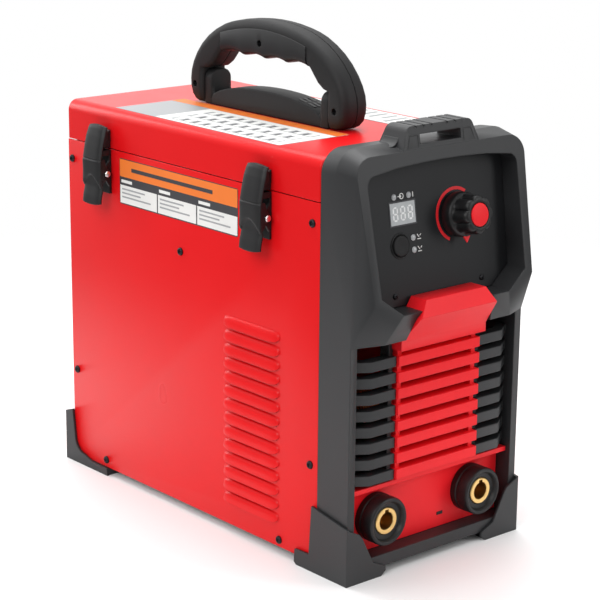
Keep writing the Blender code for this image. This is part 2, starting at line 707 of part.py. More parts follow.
# ---------------------------------------------------------------- control panel
def control_panel(mats, panel):
    """Pieces on the leaning panel, in its own frame: x, into the case, up the panel."""
    lean = math.cos(PANEL_TILT)
    outline = [(x, (z - PANEL_Z) / lean) for x, z in recess_outline(FIT)]
    plate = prism("control_panel", outline, "Y", 0, PANEL_T)
    half = DISPLAY_HALF
    cut(plate,
        box("window", (DISPLAY_X - half[0] - GAP, -0.01, DISPLAY_S - half[1] - GAP),
            (DISPLAY_X + half[0] + GAP, 0.01, DISPLAY_S + half[1] + GAP)),
        rod("button_hole", BUTTON_R + GAP, "Y", (BUTTON_X, 0, BUTTON_S), -0.01, 0.01, 32),
        rod("shaft_hole", SHAFT_R + 0.0005, "Y", (KNOB_X, 0, KNOB_S), -0.01, 0.01, 16))
    for x, s in LEDS.values():
        cut(plate, rod("led_hole", LED_R + GAP, "Y", (x, 0, s), -0.01, 0.01, 12))
    keep(plate, mats["panel_grey"], panel)

    board = PANEL_T + 0.010
    display = box("display_module", (DISPLAY_X - half[0], -0.0003, DISPLAY_S - half[1]),
                  (DISPLAY_X + half[0], board - GAP, DISPLAY_S + half[1]))
    keep(display, mats["display_grey"], panel)
    for name, (x, s) in LEDS.items():
        lamp = [(0, -0.0006), (LED_R * 0.7, -0.0006), (LED_R, 0), (LED_R, board - GAP), (0, board - GAP)]
        keep(turned(name, lamp, "Y", (x, 0, s), 12), mats["led_grey"], panel, smooth=True)
    button = [(0, -BUTTON_OUT), (BUTTON_R - 0.001, -BUTTON_OUT), (BUTTON_R, 0.001 - BUTTON_OUT),
              (BUTTON_R, PANEL_T + 0.004), (0, PANEL_T + 0.004)]
    keep(turned("mode_button", button, "Y", (BUTTON_X, 0, BUTTON_S), 32), mats["plastic_black"], panel,
         (BUTTON_X, 0, BUTTON_S), smooth=True)
    knob_parts(mats, panel, board)
    circuit = box("control_board", (-0.060, board, -0.033), (0.060, board + 0.0016, 0.036))
    keep(circuit, mats["board_green"], panel)


def knob_parts(mats, panel, board):
    """The knob turns on the encoder's shaft; its cap and pointer turn with it."""
    centre = (KNOB_X, 0, KNOB_S)
    face = -GAP - KNOB_H
    seat = 0.0086
    knob_side = [(seat + GAP, face + 0.0012), (seat + GAP, face), (KNOB_R - 0.0032, face),
                 (KNOB_R - 0.0020, face + 0.0015), (KNOB_R - 0.0018, -0.0110), (KNOB_R, -0.0105),
                 (KNOB_R, -0.0008), (SHAFT_R + 0.0002, -0.0008),
                 (SHAFT_R + 0.0002, -0.015), (0, -0.015), (0, face + 0.0012)]
    knob = turned("current_knob", knob_side, "Y", centre, 40)
    pointer = [(KNOB_X - 0.0042, KNOB_S - KNOB_R + 0.001), (KNOB_X + 0.0042, KNOB_S - KNOB_R + 0.001),
               (KNOB_X, KNOB_S - KNOB_R - 0.0055)]
    add(knob, prism("pointer", pointer, "Y", -0.0100, -0.0084))
    keep(knob, mats["plastic_black"], panel, centre)
    cap_side = [(0, face - 0.0008), (seat - 0.001, face - 0.0008), (seat, face), (seat, face + 0.0009), (0, face + 0.0009)]
    keep(turned("knob_cap", cap_side, "Y", centre, 32), mats["trim_red"], panel, centre, smooth=True)
    encoder = box("knob_encoder", (KNOB_X - 0.006, PANEL_T + GAP, KNOB_S - 0.006),
                  (KNOB_X + 0.006, board - GAP, KNOB_S + 0.006))
    add(encoder, rod("shaft", SHAFT_R, "Y", centre, -0.0145, PANEL_T + 0.002, 16))
    keep(encoder, mats["steel"], panel)


# ---------------------------------------------------------------- corner guards
def front_foot(mats, root, name, side):
    """Corner guard: side wing, front wing and the pad underneath."""
    face = LOWER_FACE_Y - GUARD - GAP
    out = HALF + GUARD + GAP
    low = -FOOT_HEIGHT
    wing = [(face, low), (0.020, low), (0.0225, low + 0.002), (0.0220, 0.0055), (0.0060, 0.0060),
            (0.0036, 0.0445), (face, 0.0375)]
    foot = prism(name, wing, "X", *sorted((side * (HALF + GAP), side * out)))
    front = [(out, low), (HALF - 0.0320, low), (HALF - 0.0365, low + 0.0035), (HALF - 0.0365, 0.0006),
             (HALF - 0.0240, 0.0062), (HALF - 0.0130, 0.0275), (HALF - 0.0100, 0.0314), (out, 0.0375)]
    pad = [(out, face), (HALF - 0.0320, face), (HALF - 0.0300, -0.018), (HALF - 0.0180, 0.020), (out, 0.020)]
    add(foot,
        prism("front", [(side * x, z) for x, z in front], "Y", face, LOWER_FACE_Y - GAP),
        prism("pad", [(side * x, y) for x, y in pad], "Z", low, -GAP))
    keep(foot, mats["plastic_dark"], root)


def rear_foot(mats, root, name, side):
    """Corner guard that stands behind the case, so it can rest on its back edge."""
    back = DEPTH + REAR_GUARD
    out = HALF + GUARD + GAP
    low = -FOOT_HEIGHT
    sweep = arc((DEPTH - 0.0165, 0.0160), 0.0130, 0, -90, 5)
    wing = [(DEPTH - 0.050, low), (back - 0.003, low), (back, low + 0.004), (back, 0.0360), (DEPTH - 0.0005, 0.0395)]
    wing += sweep + [(DEPTH - 0.028, -0.0005), (DEPTH - 0.049, -0.0005)]
    foot = prism(name, wing, "X", *sorted((side * (HALF + GAP), side * out)))
    rear = [(out, low), (HALF - 0.030, low), (HALF - 0.032, low + 0.003), (HALF - 0.030, 0.004),
            (HALF - 0.014, 0.010), (HALF - 0.010, 0.034), (out, 0.0360)]
    pad = [(out, DEPTH - 0.049), (HALF - 0.012, DEPTH - 0.049), (HALF - 0.028, DEPTH - 0.020),
           (HALF - 0.030, back), (out, back)]
    add(foot,
        prism("rear", [(side * x, z) for x, z in rear], "Y", DEPTH + GAP, back),
        prism("pad", [(side * x, y) for x, y in pad], "Z", low, -GAP))
    keep(foot, mats["plastic_dark"], root)


# ---------------------------------------------------------------- rear fittings
def power_switch(mats, root):
    half_x, half_z = SWITCH_HALF
    out = BACK_IN + GAP
    body = 0.0010
    housing = box("power_switch_housing", (SWITCH_X - half_x - body, out - 0.022, SWITCH_Z - half_z - body),
                  (SWITCH_X + half_x + body, out, SWITCH_Z + half_z + body))
    add(housing, box("flange", (SWITCH_X - half_x - 0.003, out, SWITCH_Z - half_z - 0.003),
                     (SWITCH_X + half_x + 0.003, out + 0.0022, SWITCH_Z + half_z + 0.003)))
    cut(housing, box("hollow", (SWITCH_X - half_x, out - 0.014, SWITCH_Z - half_z),
                     (SWITCH_X + half_x, out + 0.01, SWITCH_Z + half_z)))
    keep(housing, mats["plastic_black"], root)
    pivot = (SWITCH_X, out - 0.0040, SWITCH_Z)
    reach = half_z - 0.0014
    side = [(pivot[1] - 0.004, SWITCH_Z - 0.004), (pivot[1] + 0.0025, SWITCH_Z - reach),
            (pivot[1] + 0.0062, SWITCH_Z - reach), (pivot[1] + 0.0048, SWITCH_Z),
            (pivot[1] + 0.0062, SWITCH_Z + reach), (pivot[1] + 0.0025, SWITCH_Z + reach),
            (pivot[1] - 0.004, SWITCH_Z + 0.004)]
    rocker = prism("power_switch_rocker", side, "X", SWITCH_X - half_x + 0.0005, SWITCH_X + half_x - 0.0005)
    keep(rocker, mats["plastic_dark"], root, pivot)
    rocker.rotation_euler.x = -ROCKER_REST


def cord_gland(mats, root):
    out = BACK_IN + GAP
    neck = GLAND_BORE + 0.0040
    side = [(GLAND_BORE, out - 0.0120), (neck, out - 0.0120), (neck, out), (0.0130, out), (0.0130, out + 0.0035),
            (0.0115, out + 0.0040), (0.0110, out + 0.0090), (0.0080, out + 0.0125), (GLAND_BORE, out + 0.0125)]
    gland = turned("cord_gland", side, "Y", (GLAND_X, 0, SWITCH_Z), 24)
    keep(gland, mats["plastic_black"], root, smooth=True)


def cooling_fan(mats, root):
    """Square frame with a three-arm spider, the rotor in front of it, and a guard outside."""
    back = BACK_IN - SHEET - GAP
    front = back - FAN_DEPTH
    frame = box("fan_frame", (-FAN_HALF, front, FAN_Z - FAN_HALF), (FAN_HALF, back, FAN_Z + FAN_HALF))
    cut(frame, rod("bore", FAN_BORE, "Y", (0, 0, FAN_Z), 0, 1, 40))
    add(frame, rod("seat", 0.0150, "Y", (0, 0, FAN_Z), front + 0.0004, front + 0.0024, 24))
    for i in range(3):
        arm = box("arm", (-0.002, front + 0.0004, 0.010), (0.002, front + 0.0024, FAN_BORE + 0.001))
        arm.data.transform(Matrix.Translation((0, 0, FAN_Z)) @ Matrix.Rotation(2 * math.pi * i / 3, 4, "Y"))
        add(frame, arm)
    keep(frame, mats["plastic_black"], root)

    start, end = front + 0.0032, back - 0.0010
    centre = (0, (start + end) / 2, FAN_Z)
    rotor = rod("fan_rotor", FAN_HUB, "Y", (0, 0, FAN_Z), start, end, 28)
    blades = []
    for i in range(BLADES):
        twist = 0.0095
        blade = hull("blade", [(x + dx, y, z) for z in (FAN_HUB - 0.003, FAN_BORE - 0.0015)
                               for x, y in ((-twist * (0.7 + 6 * z), start + 0.002), (twist * (0.7 + 6 * z), end - 0.002))
                               for dx in (-0.0007, 0.0007)])
        blade.data.transform(Matrix.Translation((0, 0, FAN_Z)) @ Matrix.Rotation(2 * math.pi * i / BLADES, 4, "Y"))
        blades.append(blade)
    for blade in blades:
        add(rotor, blade)
    keep(rotor, mats["plastic_black"], root, centre)
    fan_guard(mats, root)


def fan_guard(mats, root):
    low, high = BACK_IN + GAP, BACK_IN + GAP + 0.0022
    width = 0.0018
    rings = []
    for radius in (0.0430, 0.0340, 0.0250, 0.0160):
        side = [(radius - width, low), (radius, low), (radius, high), (radius - width, high)]
        rings.append(turned("ring", side, "Y", (0, 0, FAN_Z), 32))
    guard = rod("fan_guard", 0.0090, "Y", (0, 0, FAN_Z), low, high, 20)
    spokes = []
    for i in range(2):
        bar = box("spoke", (-0.0010, low, -0.0422), (0.0010, high, 0.0422))
        bar.data.transform(Matrix.Translation((0, 0, FAN_Z)) @ Matrix.Rotation(math.radians(45 + 90 * i), 4, "Y"))
        spokes.append(bar)
    add(guard, *spokes)
    add(guard, merge(rings[0], rings[1:]))
    keep(guard, mats["steel"], root)


# ---------------------------------------------------------------- inside
BUSBAR_Y = 0.0270


def busbar(mats, root, name, x):
    """Copper strap from a socket's stud up to the power board."""
    thick = 0.002
    under = BOARD_Z - GAP
    side = [(BUSBAR_Y, SOCKET_Z - 0.010), (BUSBAR_Y + thick, SOCKET_Z - 0.010),
            (BUSBAR_Y + thick, under - thick), (BUSBAR_Y + 0.018, under - thick),
            (BUSBAR_Y + 0.018, under), (BUSBAR_Y, under)]
    keep(prism(name, side, "X", x - 0.009, x + 0.009), mats["copper"], root)


def heatsink(mats, root):
    top = BOARD_Z - 0.003
    plate = 0.006
    low = 0.0165
    half, fins, fin = 0.050, 9, 0.0022
    pitch = (2 * half - fin) / (fins - 1)
    comb = [(half, top), (-half, top)]
    for i in range(fins):
        x = -half + i * pitch
        comb += [(x, low), (x + fin, low)]
        if i < fins - 1:
            comb += [(x + fin, top - plate), (x + pitch, top - plate)]
    keep(prism("heatsink", comb, "Y", 0.070, DEPTH - HEATSINK_BACK), mats["aluminium"], root)


def transformer(mats, root):
    low = BOARD_Z + 0.0016 + GAP
    x0, x1, y0, y1, high = -0.068, -0.008, 0.060, 0.092, low + 0.052
    leg = 0.009
    core = box("transformer_core", (x0, y0, low), (x1, y1, high))
    middle = (x0 + x1) / 2
    for a, b in ((x0 + leg, middle - leg), (middle + leg, x1 - leg)):
        cut(core, box("window", (a, y0 - 0.01, low + leg), (b, y1 + 0.01, high - leg)))
    keep(core, mats["ferrite"], root)
    wind = box("transformer_winding", (x0 + leg + 0.0008, y0 - 0.010, low + leg + 0.001),
               (x1 - leg - 0.0008, y1 + 0.010, high - leg - 0.001))
    cut(wind, box("leg", (middle - leg - 0.0006, y0 - 0.0006, 0), (middle + leg + 0.0006, y1 + 0.0006, 1)))
    keep(wind, mats["copper"], root)


def power_board(mats, root):
    half = HALF - 0.0065
    board = box("main_board", (-half, BOARD_Y, BOARD_Z), (half, DEPTH - BOARD_BACK, BOARD_Z + 0.0016))
    keep(board, mats["board_green"], root)
    heatsink(mats, root)
    transformer(mats, root)
    floor = BOARD_Z + 0.0016 + GAP
    section = arc((0.020, floor + 0.011), 0.010, 0, 330, 11)
    choke = turned("output_choke", section, "Z", (HALF - CHOKE_INSET, 0.085, 0), 28)
    keep(choke, mats["copper"], root, smooth=True)
    for name, y in (("bus_capacitor_front", 0.150), ("bus_capacitor_rear", 0.190)):
        can = [(0, floor), (0.0160, floor), (0.0160, floor + 0.044), (0.0150, floor + 0.045), (0, floor + 0.045)]
        keep(turned(name, can, "Z", (-0.030, y, 0), 24), mats["sleeve"], root, smooth=True)
    busbar(mats, root, "negative_busbar", -SOCKET_X)
    busbar(mats, root, "positive_busbar", SOCKET_X)


# ---------------------------------------------------------------- the whole object
def empty(name, location, parent=None):
    obj = bpy.data.objects.new(name, None)
    bpy.context.scene.collection.objects.link(obj)
    obj.location = location
    obj.parent = parent
    return obj


def main():
    clear_scene()
    mats = make_materials()
    root = empty("case_frame", (CASE_X, CASE_Y, FOOT_HEIGHT))
    panel = empty("panel_frame", (0, PANEL_Y, PANEL_Z), root)
    panel.rotation_euler.x = -PANEL_TILT
    hinge_at = (HINGE_X, DEPTH / 2, SEAM)

    base_tray(mats, root)
    side_panel(mats, root, "left_side_panel", -1)
    side_panel(mats, root, "right_side_panel", 1)
    rear_panel(mats, root)
    storage_tray(mats, root)
    lid(mats, root, hinge_at)
    lid_hinge(mats, root, hinge_at)
    latches(mats, root, hinge_at)
    handle_base(mats, root, hinge_at)
    handle_shell(mats, root, "handle_left_shell", -1, hinge_at)
    handle_shell(mats, root, "handle_right_shell", 1, hinge_at)
    grip_insert(mats, root, hinge_at)
    front_bezel(mats, root)
    front_trim(mats, root)
    socket_plate(mats, root)
    socket(mats, root, "negative", -SOCKET_X)
    socket(mats, root, "positive", SOCKET_X)
    control_panel(mats, panel)
    for side, word in ((-1, "left"), (1, "right")):
        front_foot(mats, root, f"front_{word}_foot", side)
        rear_foot(mats, root, f"rear_{word}_foot", side)
    power_switch(mats, root)
    cord_gland(mats, root)
    cooling_fan(mats, root)
    power_board(mats, root)
    bpy.context.view_layer.update()


main()
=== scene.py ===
"""Stick welding inverter: the visual model, laid out as a Blender add-on and run as a script."""

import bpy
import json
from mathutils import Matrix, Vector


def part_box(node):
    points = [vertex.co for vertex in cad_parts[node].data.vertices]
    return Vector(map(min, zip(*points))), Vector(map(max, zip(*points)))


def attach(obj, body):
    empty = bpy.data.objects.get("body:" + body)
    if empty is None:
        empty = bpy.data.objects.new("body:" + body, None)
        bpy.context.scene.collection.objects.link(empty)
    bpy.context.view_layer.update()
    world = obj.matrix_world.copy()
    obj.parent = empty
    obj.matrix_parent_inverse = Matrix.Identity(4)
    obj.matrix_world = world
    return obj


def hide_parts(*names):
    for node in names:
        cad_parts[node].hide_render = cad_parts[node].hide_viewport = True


bl_info = {
    "name": "Stick Welding Inverter",
    "version": (1, 0, 0),
    "blender": (4, 5, 0),
    "location": "View3D > Sidebar > Welder",
    "description": "Builds the looks of a stick welding inverter on its frame",
    "category": "Object",
}

import json
import math

import bmesh
import bpy
from bpy.props import FloatProperty, FloatVectorProperty, IntProperty, PointerProperty
from mathutils import Matrix, Vector

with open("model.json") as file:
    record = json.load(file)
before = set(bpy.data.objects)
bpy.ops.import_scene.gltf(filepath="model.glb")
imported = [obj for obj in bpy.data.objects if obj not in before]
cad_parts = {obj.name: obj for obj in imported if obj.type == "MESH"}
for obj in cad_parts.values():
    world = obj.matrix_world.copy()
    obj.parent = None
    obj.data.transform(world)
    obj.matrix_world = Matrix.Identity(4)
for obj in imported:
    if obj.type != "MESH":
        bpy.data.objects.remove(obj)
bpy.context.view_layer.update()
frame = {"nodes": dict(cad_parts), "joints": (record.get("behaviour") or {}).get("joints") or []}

# The case's own frame: x from its middle plane, y from its front edge, z from its underside.
LID_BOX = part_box("lid")
WALL_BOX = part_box("left_side_panel")
ORIGIN = Vector(((LID_BOX[0].x + LID_BOX[1].x) / 2, WALL_BOX[0].y, WALL_BOX[0].z))
HALF = (LID_BOX[1].x - LID_BOX[0].x) / 2
DEPTH = WALL_BOX[1].y - ORIGIN.y
SEAM = WALL_BOX[1].z - ORIGIN.z
TOP = LID_BOX[1].z - ORIGIN.z
SHEET = 0.0015
GAP = 0.0003
REAR_FACE = DEPTH - 0.0045
PRINT = 0.00012
# The hood's front face: y = FACE_0 + LEAN * z.
LEAN = 0.187
FACE_0 = -0.052 - LEAN * 0.1948

JOINTS = {joint["name"]: joint for joint in frame["joints"]}
FACING = Vector(JOINTS["knob_turn"]["axis"])
KNOB_AT = Vector(JOINTS["knob_turn"]["pos_m"]) - ORIGIN
TILT = math.atan2(FACING.z, -FACING.y)
CASE = Matrix.Translation(ORIGIN)
# The control panel's frame: x across, y into the case, z up the panel, centred on the knob.
PANEL = CASE @ Matrix.Translation(KNOB_AT) @ Matrix.Rotation(-TILT, 4, "X")
KNOB_FACE = -GAP - 0.0245
LATCH_PINS = {
    "front": Vector(JOINTS["front_latch_rock"]["pos_m"]) - ORIGIN,
    "rear": Vector(JOINTS["rear_latch_rock"]["pos_m"]) - ORIGIN,
}


# ---------------------------------------------------------------- nodes
class Wire:
    """An output socket that takes part in arithmetic."""

    def __init__(self, nodes, socket):
        self.nodes = nodes
        self.socket = socket

    def maths(self, operation, first, second):
        return self.nodes.add("ShaderNodeMath", {"operation": operation}, {0: first, 1: second})

    def __add__(self, other):
        return self.maths("ADD", self, other)

    def __sub__(self, other):
        return self.maths("SUBTRACT", self, other)

    def __mul__(self, other):
        return self.maths("MULTIPLY", self, other)

    def __pow__(self, other):
        return self.maths("POWER", self, other)

    def __rsub__(self, other):
        return self.maths("SUBTRACT", other, self)

    __radd__ = __add__
    __rmul__ = __mul__


class Nodes:
    """Adds nodes to a tree: settings first, then the values or links of their sockets."""

    def __init__(self, tree):
        self.tree = tree

    def add(self, kind, settings=None, values=None, output=0):
        node = self.tree.nodes.new(kind)
        for name, value in (settings or {}).items():
            setattr(node, name, value)
        for key, value in (values or {}).items():
            self.feed(node.inputs[key], value)
        return Wire(self, node.outputs[output])

    def feed(self, socket, value):
        if isinstance(value, Wire):
            self.tree.links.new(value.socket, socket)
        elif socket.type == "RGBA" and len(value) == 3:
            socket.default_value = (*value, 1.0)
        else:
            socket.default_value = value


class Shader(Nodes):
    """One material with a Principled surface."""

    def __init__(self, name):
        self.material = bpy.data.materials.new(name)
        self.material.use_nodes = True
        super().__init__(self.material.node_tree)
        self.surface = self.tree.nodes["Principled BSDF"]

    def place(self, scale=(1, 1, 1)):
        point = self.add("ShaderNodeTexCoord", output="Object")
        return self.add("ShaderNodeMapping", None, {"Vector": point, "Scale": scale})

    def axis(self, name):
        point = self.add("ShaderNodeTexCoord", output="Object")
        return self.add("ShaderNodeSeparateXYZ", None, {"Vector": point}, name)

    def noise(self, place, scale, detail=2.0, roughness=0.5):
        values = {"Vector": place, "Scale": scale, "Detail": detail, "Roughness": roughness}
        return self.add("ShaderNodeTexNoise", None, values, "Fac")

    def span(self, value, low, high, start=0.0, end=1.0):
        values = {"Value": value, "From Min": low, "From Max": high, "To Min": start, "To Max": end}
        return self.add("ShaderNodeMapRange", {"clamp": True}, values)

    def blend(self, share, first, second):
        return self.add("ShaderNodeMix", {"data_type": "RGBA"}, {0: share, 6: first, 7: second}, 2)

    def bump(self, height, distance, strength=1.0, edge=0.0004):
        """A bump over softened edges, which stand for the small radius of a real edge."""
        soft = self.add("ShaderNodeBevel", {"samples": 4}, {"Radius": edge})
        values = {"Height": height, "Distance": distance, "Strength": strength, "Normal": soft}
        return self.add("ShaderNodeBump", None, values)

    def finish(self, **values):
        for name, value in values.items():
            self.feed(self.surface.inputs[name.replace("_", " ").title().replace("Ior", "IOR")], value)
        return self.material


def shade(colour, factor):
    return tuple(min(1.0, c * factor) for c in colour)


def painted(shader, colour):
    place = shader.place()
    cloud = shader.noise(place, 11, 3)
    peel = shader.noise(place, 620, 1)
    speck = shader.span(shader.noise(place, 260, 4, 0.7), 0.70, 0.76)
    tone = shader.blend(cloud, shade(colour, 0.93), shade(colour, 1.06))
    tone = shader.blend(speck * 0.10, tone, (0.75, 0.45, 0.42))
    return shader.finish(base_color=tone, roughness=0.24 + cloud * 0.12 + speck * 0.2,
                         normal=shader.bump(peel, 0.00004, 0.5, 0.0006), specular_ior_level=0.22)


def moulded(shader, colour, rough=0.5, grain=2200, depth=0.00005, edge=0.0008, gloss=0.4):
    """Injection-moulded plastic with a spark-eroded grain and faint handling marks."""
    place = shader.place()
    cloud = shader.noise(place, 16, 4)
    pits = shader.noise(place, grain, 2, 0.6)
    marks = shader.span(shader.noise(shader.place((1, 1, 7)), 120, 5, 0.7), 0.62, 0.75)
    tone = shader.blend(cloud, shade(colour, 0.86), shade(colour, 1.14))
    tone = shader.blend(marks * 0.12, tone, shade(colour, 2.6))
    return shader.finish(base_color=tone, roughness=rough + cloud * 0.12 - marks * 0.08 + pits * 0.08,
                         normal=shader.bump(pits, depth, 0.6, edge), specular_ior_level=gloss)


def brushed(shader, colour, rough=0.3, along=(1, 40, 40), wear=0.1):
    """Metal with fine lines along one axis."""
    lines = shader.noise(shader.place(along), 60, 3, 0.6)
    cloud = shader.noise(shader.place(), 40, 4)
    tone = shader.blend(cloud, shade(colour, 0.82), shade(colour, 1.1))
    return shader.finish(base_color=tone, metallic=1.0, roughness=rough + cloud * wear + lines * 0.12,
                         normal=shader.bump(lines, 0.00003, 0.4, 0.0003))


def board(shader, colour):
    """Solder mask over a grid of tracks and pads."""
    place = shader.place((1, 1, 1))
    cells = shader.add("ShaderNodeTexBrick", {"offset": 0.37},
                       {"Vector": place, "Scale": 90.0, "Mortar Size": 0.06, "Color1": (0, 0, 0),
                        "Color2": (0.3, 0.3, 0.3), "Mortar": (1, 1, 1)}, "Fac")
    pads = shader.span(shader.add("ShaderNodeTexVoronoi", None, {"Vector": place, "Scale": 160.0},
                                  "Distance"), 0.16, 0.12)
    tone = shader.blend(cells * 0.5, colour, shade(colour, 1.9))
    tone = shader.blend(pads, tone, (0.62, 0.60, 0.52))
    return shader.finish(base_color=tone, roughness=0.42 - pads * 0.1, normal=shader.bump(cells, 0.00005))


def film(shader, colour):
    """Fine matt printed film."""
    place = shader.place()
    grain = shader.noise(place, 3000, 1)
    cloud = shader.noise(place, 30, 3)
    tone = shader.blend(cloud, shade(colour, 0.93), shade(colour, 1.07))
    return shader.finish(base_color=tone, roughness=0.42 + cloud * 0.10,
                         normal=shader.bump(grain, 0.00002, 0.4, 0.0003), specular_ior_level=0.3)


def wound(shader, colour):
    """Enamelled wire laid side by side, with painted shade darkening the crevices between the turns."""
    turns_and_crevice_shade = shader.add("ShaderNodeTexWave", {"wave_type": "BANDS", "bands_direction": "X"},
                       {"Vector": shader.place(), "Scale": 230.0, "Distortion": 0.4}, "Fac")
    # painted shade: the colour drops to 0.4 of the wire's colour in the troughs between the turns
    tone = shader.blend(turns_and_crevice_shade, shade(colour, 0.4), colour)
    return shader.finish(base_color=tone, metallic=0.8, roughness=0.28 + turns_and_crevice_shade * 0.1,
                         normal=shader.bump(turns_and_crevice_shade, 0.0003, 0.8))


def lens(shader, colour):
    """Milky lamp or display plastic."""
    place = shader.place()
    cloud = shader.noise(place, 300, 2)
    tone = shader.blend(cloud, shade(colour, 0.9), shade(colour, 1.08))
    return shader.finish(base_color=tone, roughness=0.12 + cloud * 0.08, coat_weight=0.4,
                         normal=shader.bump(cloud, 0.00002, 0.3, 0.0002))


RED = (0.72, 0.0060, 0.0085)
TRIM = (0.86, 0.0110, 0.0180)
CHARCOAL = (0.0185, 0.0192, 0.0208)
BLACK = (0.0070, 0.0070, 0.0078)

FINISHES = {
    "paint": lambda s, v: painted(s, v.paint),
    "trim": lambda s, v: moulded(s, v.trim, 0.34, 1500, 0.00002, 0.0006, 0.25),
    "charcoal": lambda s, v: moulded(s, v.plastic, 0.38, 2200, 0.00003, 0.0012, 0.5),
    "black": lambda s, v: moulded(s, BLACK, 0.40, 1600, 0.00003),
    "soft_black": lambda s, v: moulded(s, shade(BLACK, 0.8), 0.52, 1300, 0.00005, 0.0010),
    "insulator": lambda s, v: moulded(s, shade(BLACK, 0.8), 0.34, 900, 0.00002),
    "panel_film": lambda s, v: film(s, (0.0110, 0.0115, 0.0130)),
    "print_white": lambda s, v: film(s, (0.80, 0.80, 0.78)),
    "print_grey": lambda s, v: film(s, (0.36, 0.37, 0.38)),
    "print_dark": lambda s, v: film(s, (0.05, 0.05, 0.055)),
    "print_orange": lambda s, v: film(s, v.label),
    "print_red": lambda s, v: film(s, (0.80, 0.020, 0.028)),
    "display": lambda s, v: lens(s, (0.46, 0.48, 0.49)),
    "segment": lambda s, v: lens(s, (0.86, 0.87, 0.87)),
    "lamp": lambda s, v: lens(s, (0.40, 0.41, 0.42)),
    "brass": lambda s, v: brushed(s, (0.83, 0.56, 0.22), 0.20, (40, 1, 40)),
    "steel": lambda s, v: brushed(s, (0.60, 0.60, 0.61), 0.30, (40, 1, 40)),
    "bright_steel": lambda s, v: brushed(s, (0.80, 0.78, 0.78), 0.22, (1, 1, 1)),
    "black_steel": lambda s, v: brushed(s, (0.035, 0.035, 0.038), 0.34, (1, 1, 1)),
    "wire": lambda s, v: brushed(s, (0.42, 0.42, 0.43), 0.28, (1, 1, 1)),
    "aluminium": lambda s, v: brushed(s, (0.72, 0.73, 0.74), 0.36, (40, 1, 40)),
    "copper": lambda s, v: brushed(s, (0.80, 0.36, 0.20), 0.28, (1, 40, 40)),
    "winding": lambda s, v: wound(s, (0.72, 0.28, 0.10)),
    "ferrite": lambda s, v: moulded(s, (0.045, 0.045, 0.048), 0.62, 1200, 0.00006),
    "board": lambda s, v: board(s, (0.012, 0.13, 0.045)),
    "sleeve": lambda s, v: moulded(s, (0.020, 0.035, 0.11), 0.30, 1400, 0.00002),
}


def material(name):
    found = bpy.data.materials.get("fin_" + name)
    if found is None:
        found = FINISHES[name](Shader("fin_" + name), bpy.context.scene.welder)
    return found


# ---------------------------------------------------------------- geometry node trees
class Tree(Nodes):
    """One geometry tree with named inputs; it ends in Realize Instances and Set Material."""

    SOCKETS = {"Count": "NodeSocketInt", "Step": "NodeSocketVector", "Item": "NodeSocketObject",
               "Material": "NodeSocketMaterial"}

    def __init__(self, name, inputs):
        super().__init__(bpy.data.node_groups.new(name, "GeometryNodeTree"))
        face = self.tree.interface
        face.new_socket("Geometry", in_out="INPUT", socket_type="NodeSocketGeometry")
        for each in (*inputs, "Material"):
            face.new_socket(each, in_out="INPUT", socket_type=self.SOCKETS[each])
        face.new_socket("Geometry", in_out="OUTPUT", socket_type="NodeSocketGeometry")
        self.source = self.tree.nodes.new("NodeGroupInput")

    def given(self, name):
        return Wire(self, self.source.outputs[name])

    def close(self, instances):
        real = self.add("GeometryNodeRealizeInstances", None, {"Geometry": instances})
        done = self.add("GeometryNodeSetMaterial", None,
                        {"Geometry": real, "Material": self.given("Material")})
        end = self.tree.nodes.new("NodeGroupOutput")
        self.tree.links.new(done.socket, end.inputs["Geometry"])
        return self.tree


def row_tree():
    """Copies of the geometry along a step."""
    tree = Tree("copies_in_a_row", ("Count", "Step"))
    line = tree.add("GeometryNodeMeshLine", {"mode": "OFFSET"},
                    {"Count": tree.given("Count"), "Offset": tree.given("Step")})
    return tree.close(tree.add("GeometryNodeInstanceOnPoints", None,
                               {"Points": line, "Instance": tree.given("Geometry")}))


def point_tree():
    """Copies of an item at the geometry's points, facing the points' own direction."""
    tree = Tree("copies_on_points", ("Item",))
    item = tree.add("GeometryNodeObjectInfo", {"transform_space": "ORIGINAL"},
                    {"Object": tree.given("Item")}, "Geometry")
    facing = tree.add("GeometryNodeInputNamedAttribute", {"data_type": "FLOAT_VECTOR"}, {"Name": "facing"})
    spin = tree.add("GeometryNodeInputNamedAttribute", {"data_type": "FLOAT"}, {"Name": "spin"})
    turn = tree.add("FunctionNodeAlignRotationToVector", {"axis": "Z"}, {"Vector": facing})
    own = tree.add("FunctionNodeAxisAngleToRotation", None, {"Axis": (0, 0, 1), "Angle": spin})
    turn = tree.add("FunctionNodeRotateRotation", {"rotation_space": "LOCAL"},
                    {"Rotation": turn, "Rotate By": own})
    return tree.close(tree.add("GeometryNodeInstanceOnPoints", None,
                               {"Points": tree.given("Geometry"), "Instance": item, "Rotation": turn}))


TREES = {"copies_in_a_row": row_tree, "copies_on_points": point_tree}


def grown(obj, tree_name, finish, **inputs):
    """Runs a tree on an object and leaves the result in it as a plain mesh."""
    tree = bpy.data.node_groups.get(tree_name) or TREES[tree_name]()
    modifier = obj.modifiers.new(tree_name, "NODES")
    modifier.node_group = tree
    inputs["Material"] = material(finish)
    for item in tree.interface.items_tree:
        if item.in_out == "INPUT" and item.name in inputs:
            modifier[item.identifier] = inputs[item.name]
    return settled(obj)


def settled(obj):
    """Applies an object's modifiers."""
    graph = bpy.context.evaluated_depsgraph_get()
    made = bpy.data.meshes.new_from_object(obj.evaluated_get(graph))
    obj.modifiers.clear()
    obj.data = made
    return obj


# ---------------------------------------------------------------- shapes
def arc(centre, radius, start, end, steps):
    turn = [math.radians(start + (end - start) * i / steps) for i in range(steps + 1)]
    return [(centre[0] + radius * math.cos(a), centre[1] + radius * math.sin(a)) for a in turn]


def mirrored(right):
    return right + [(-x, z) for x, z in reversed(right) if x > 1e-9]


def raised(point, axis, level):
    place = list(point)
    place.insert("XYZ".index(axis), level)
    return place


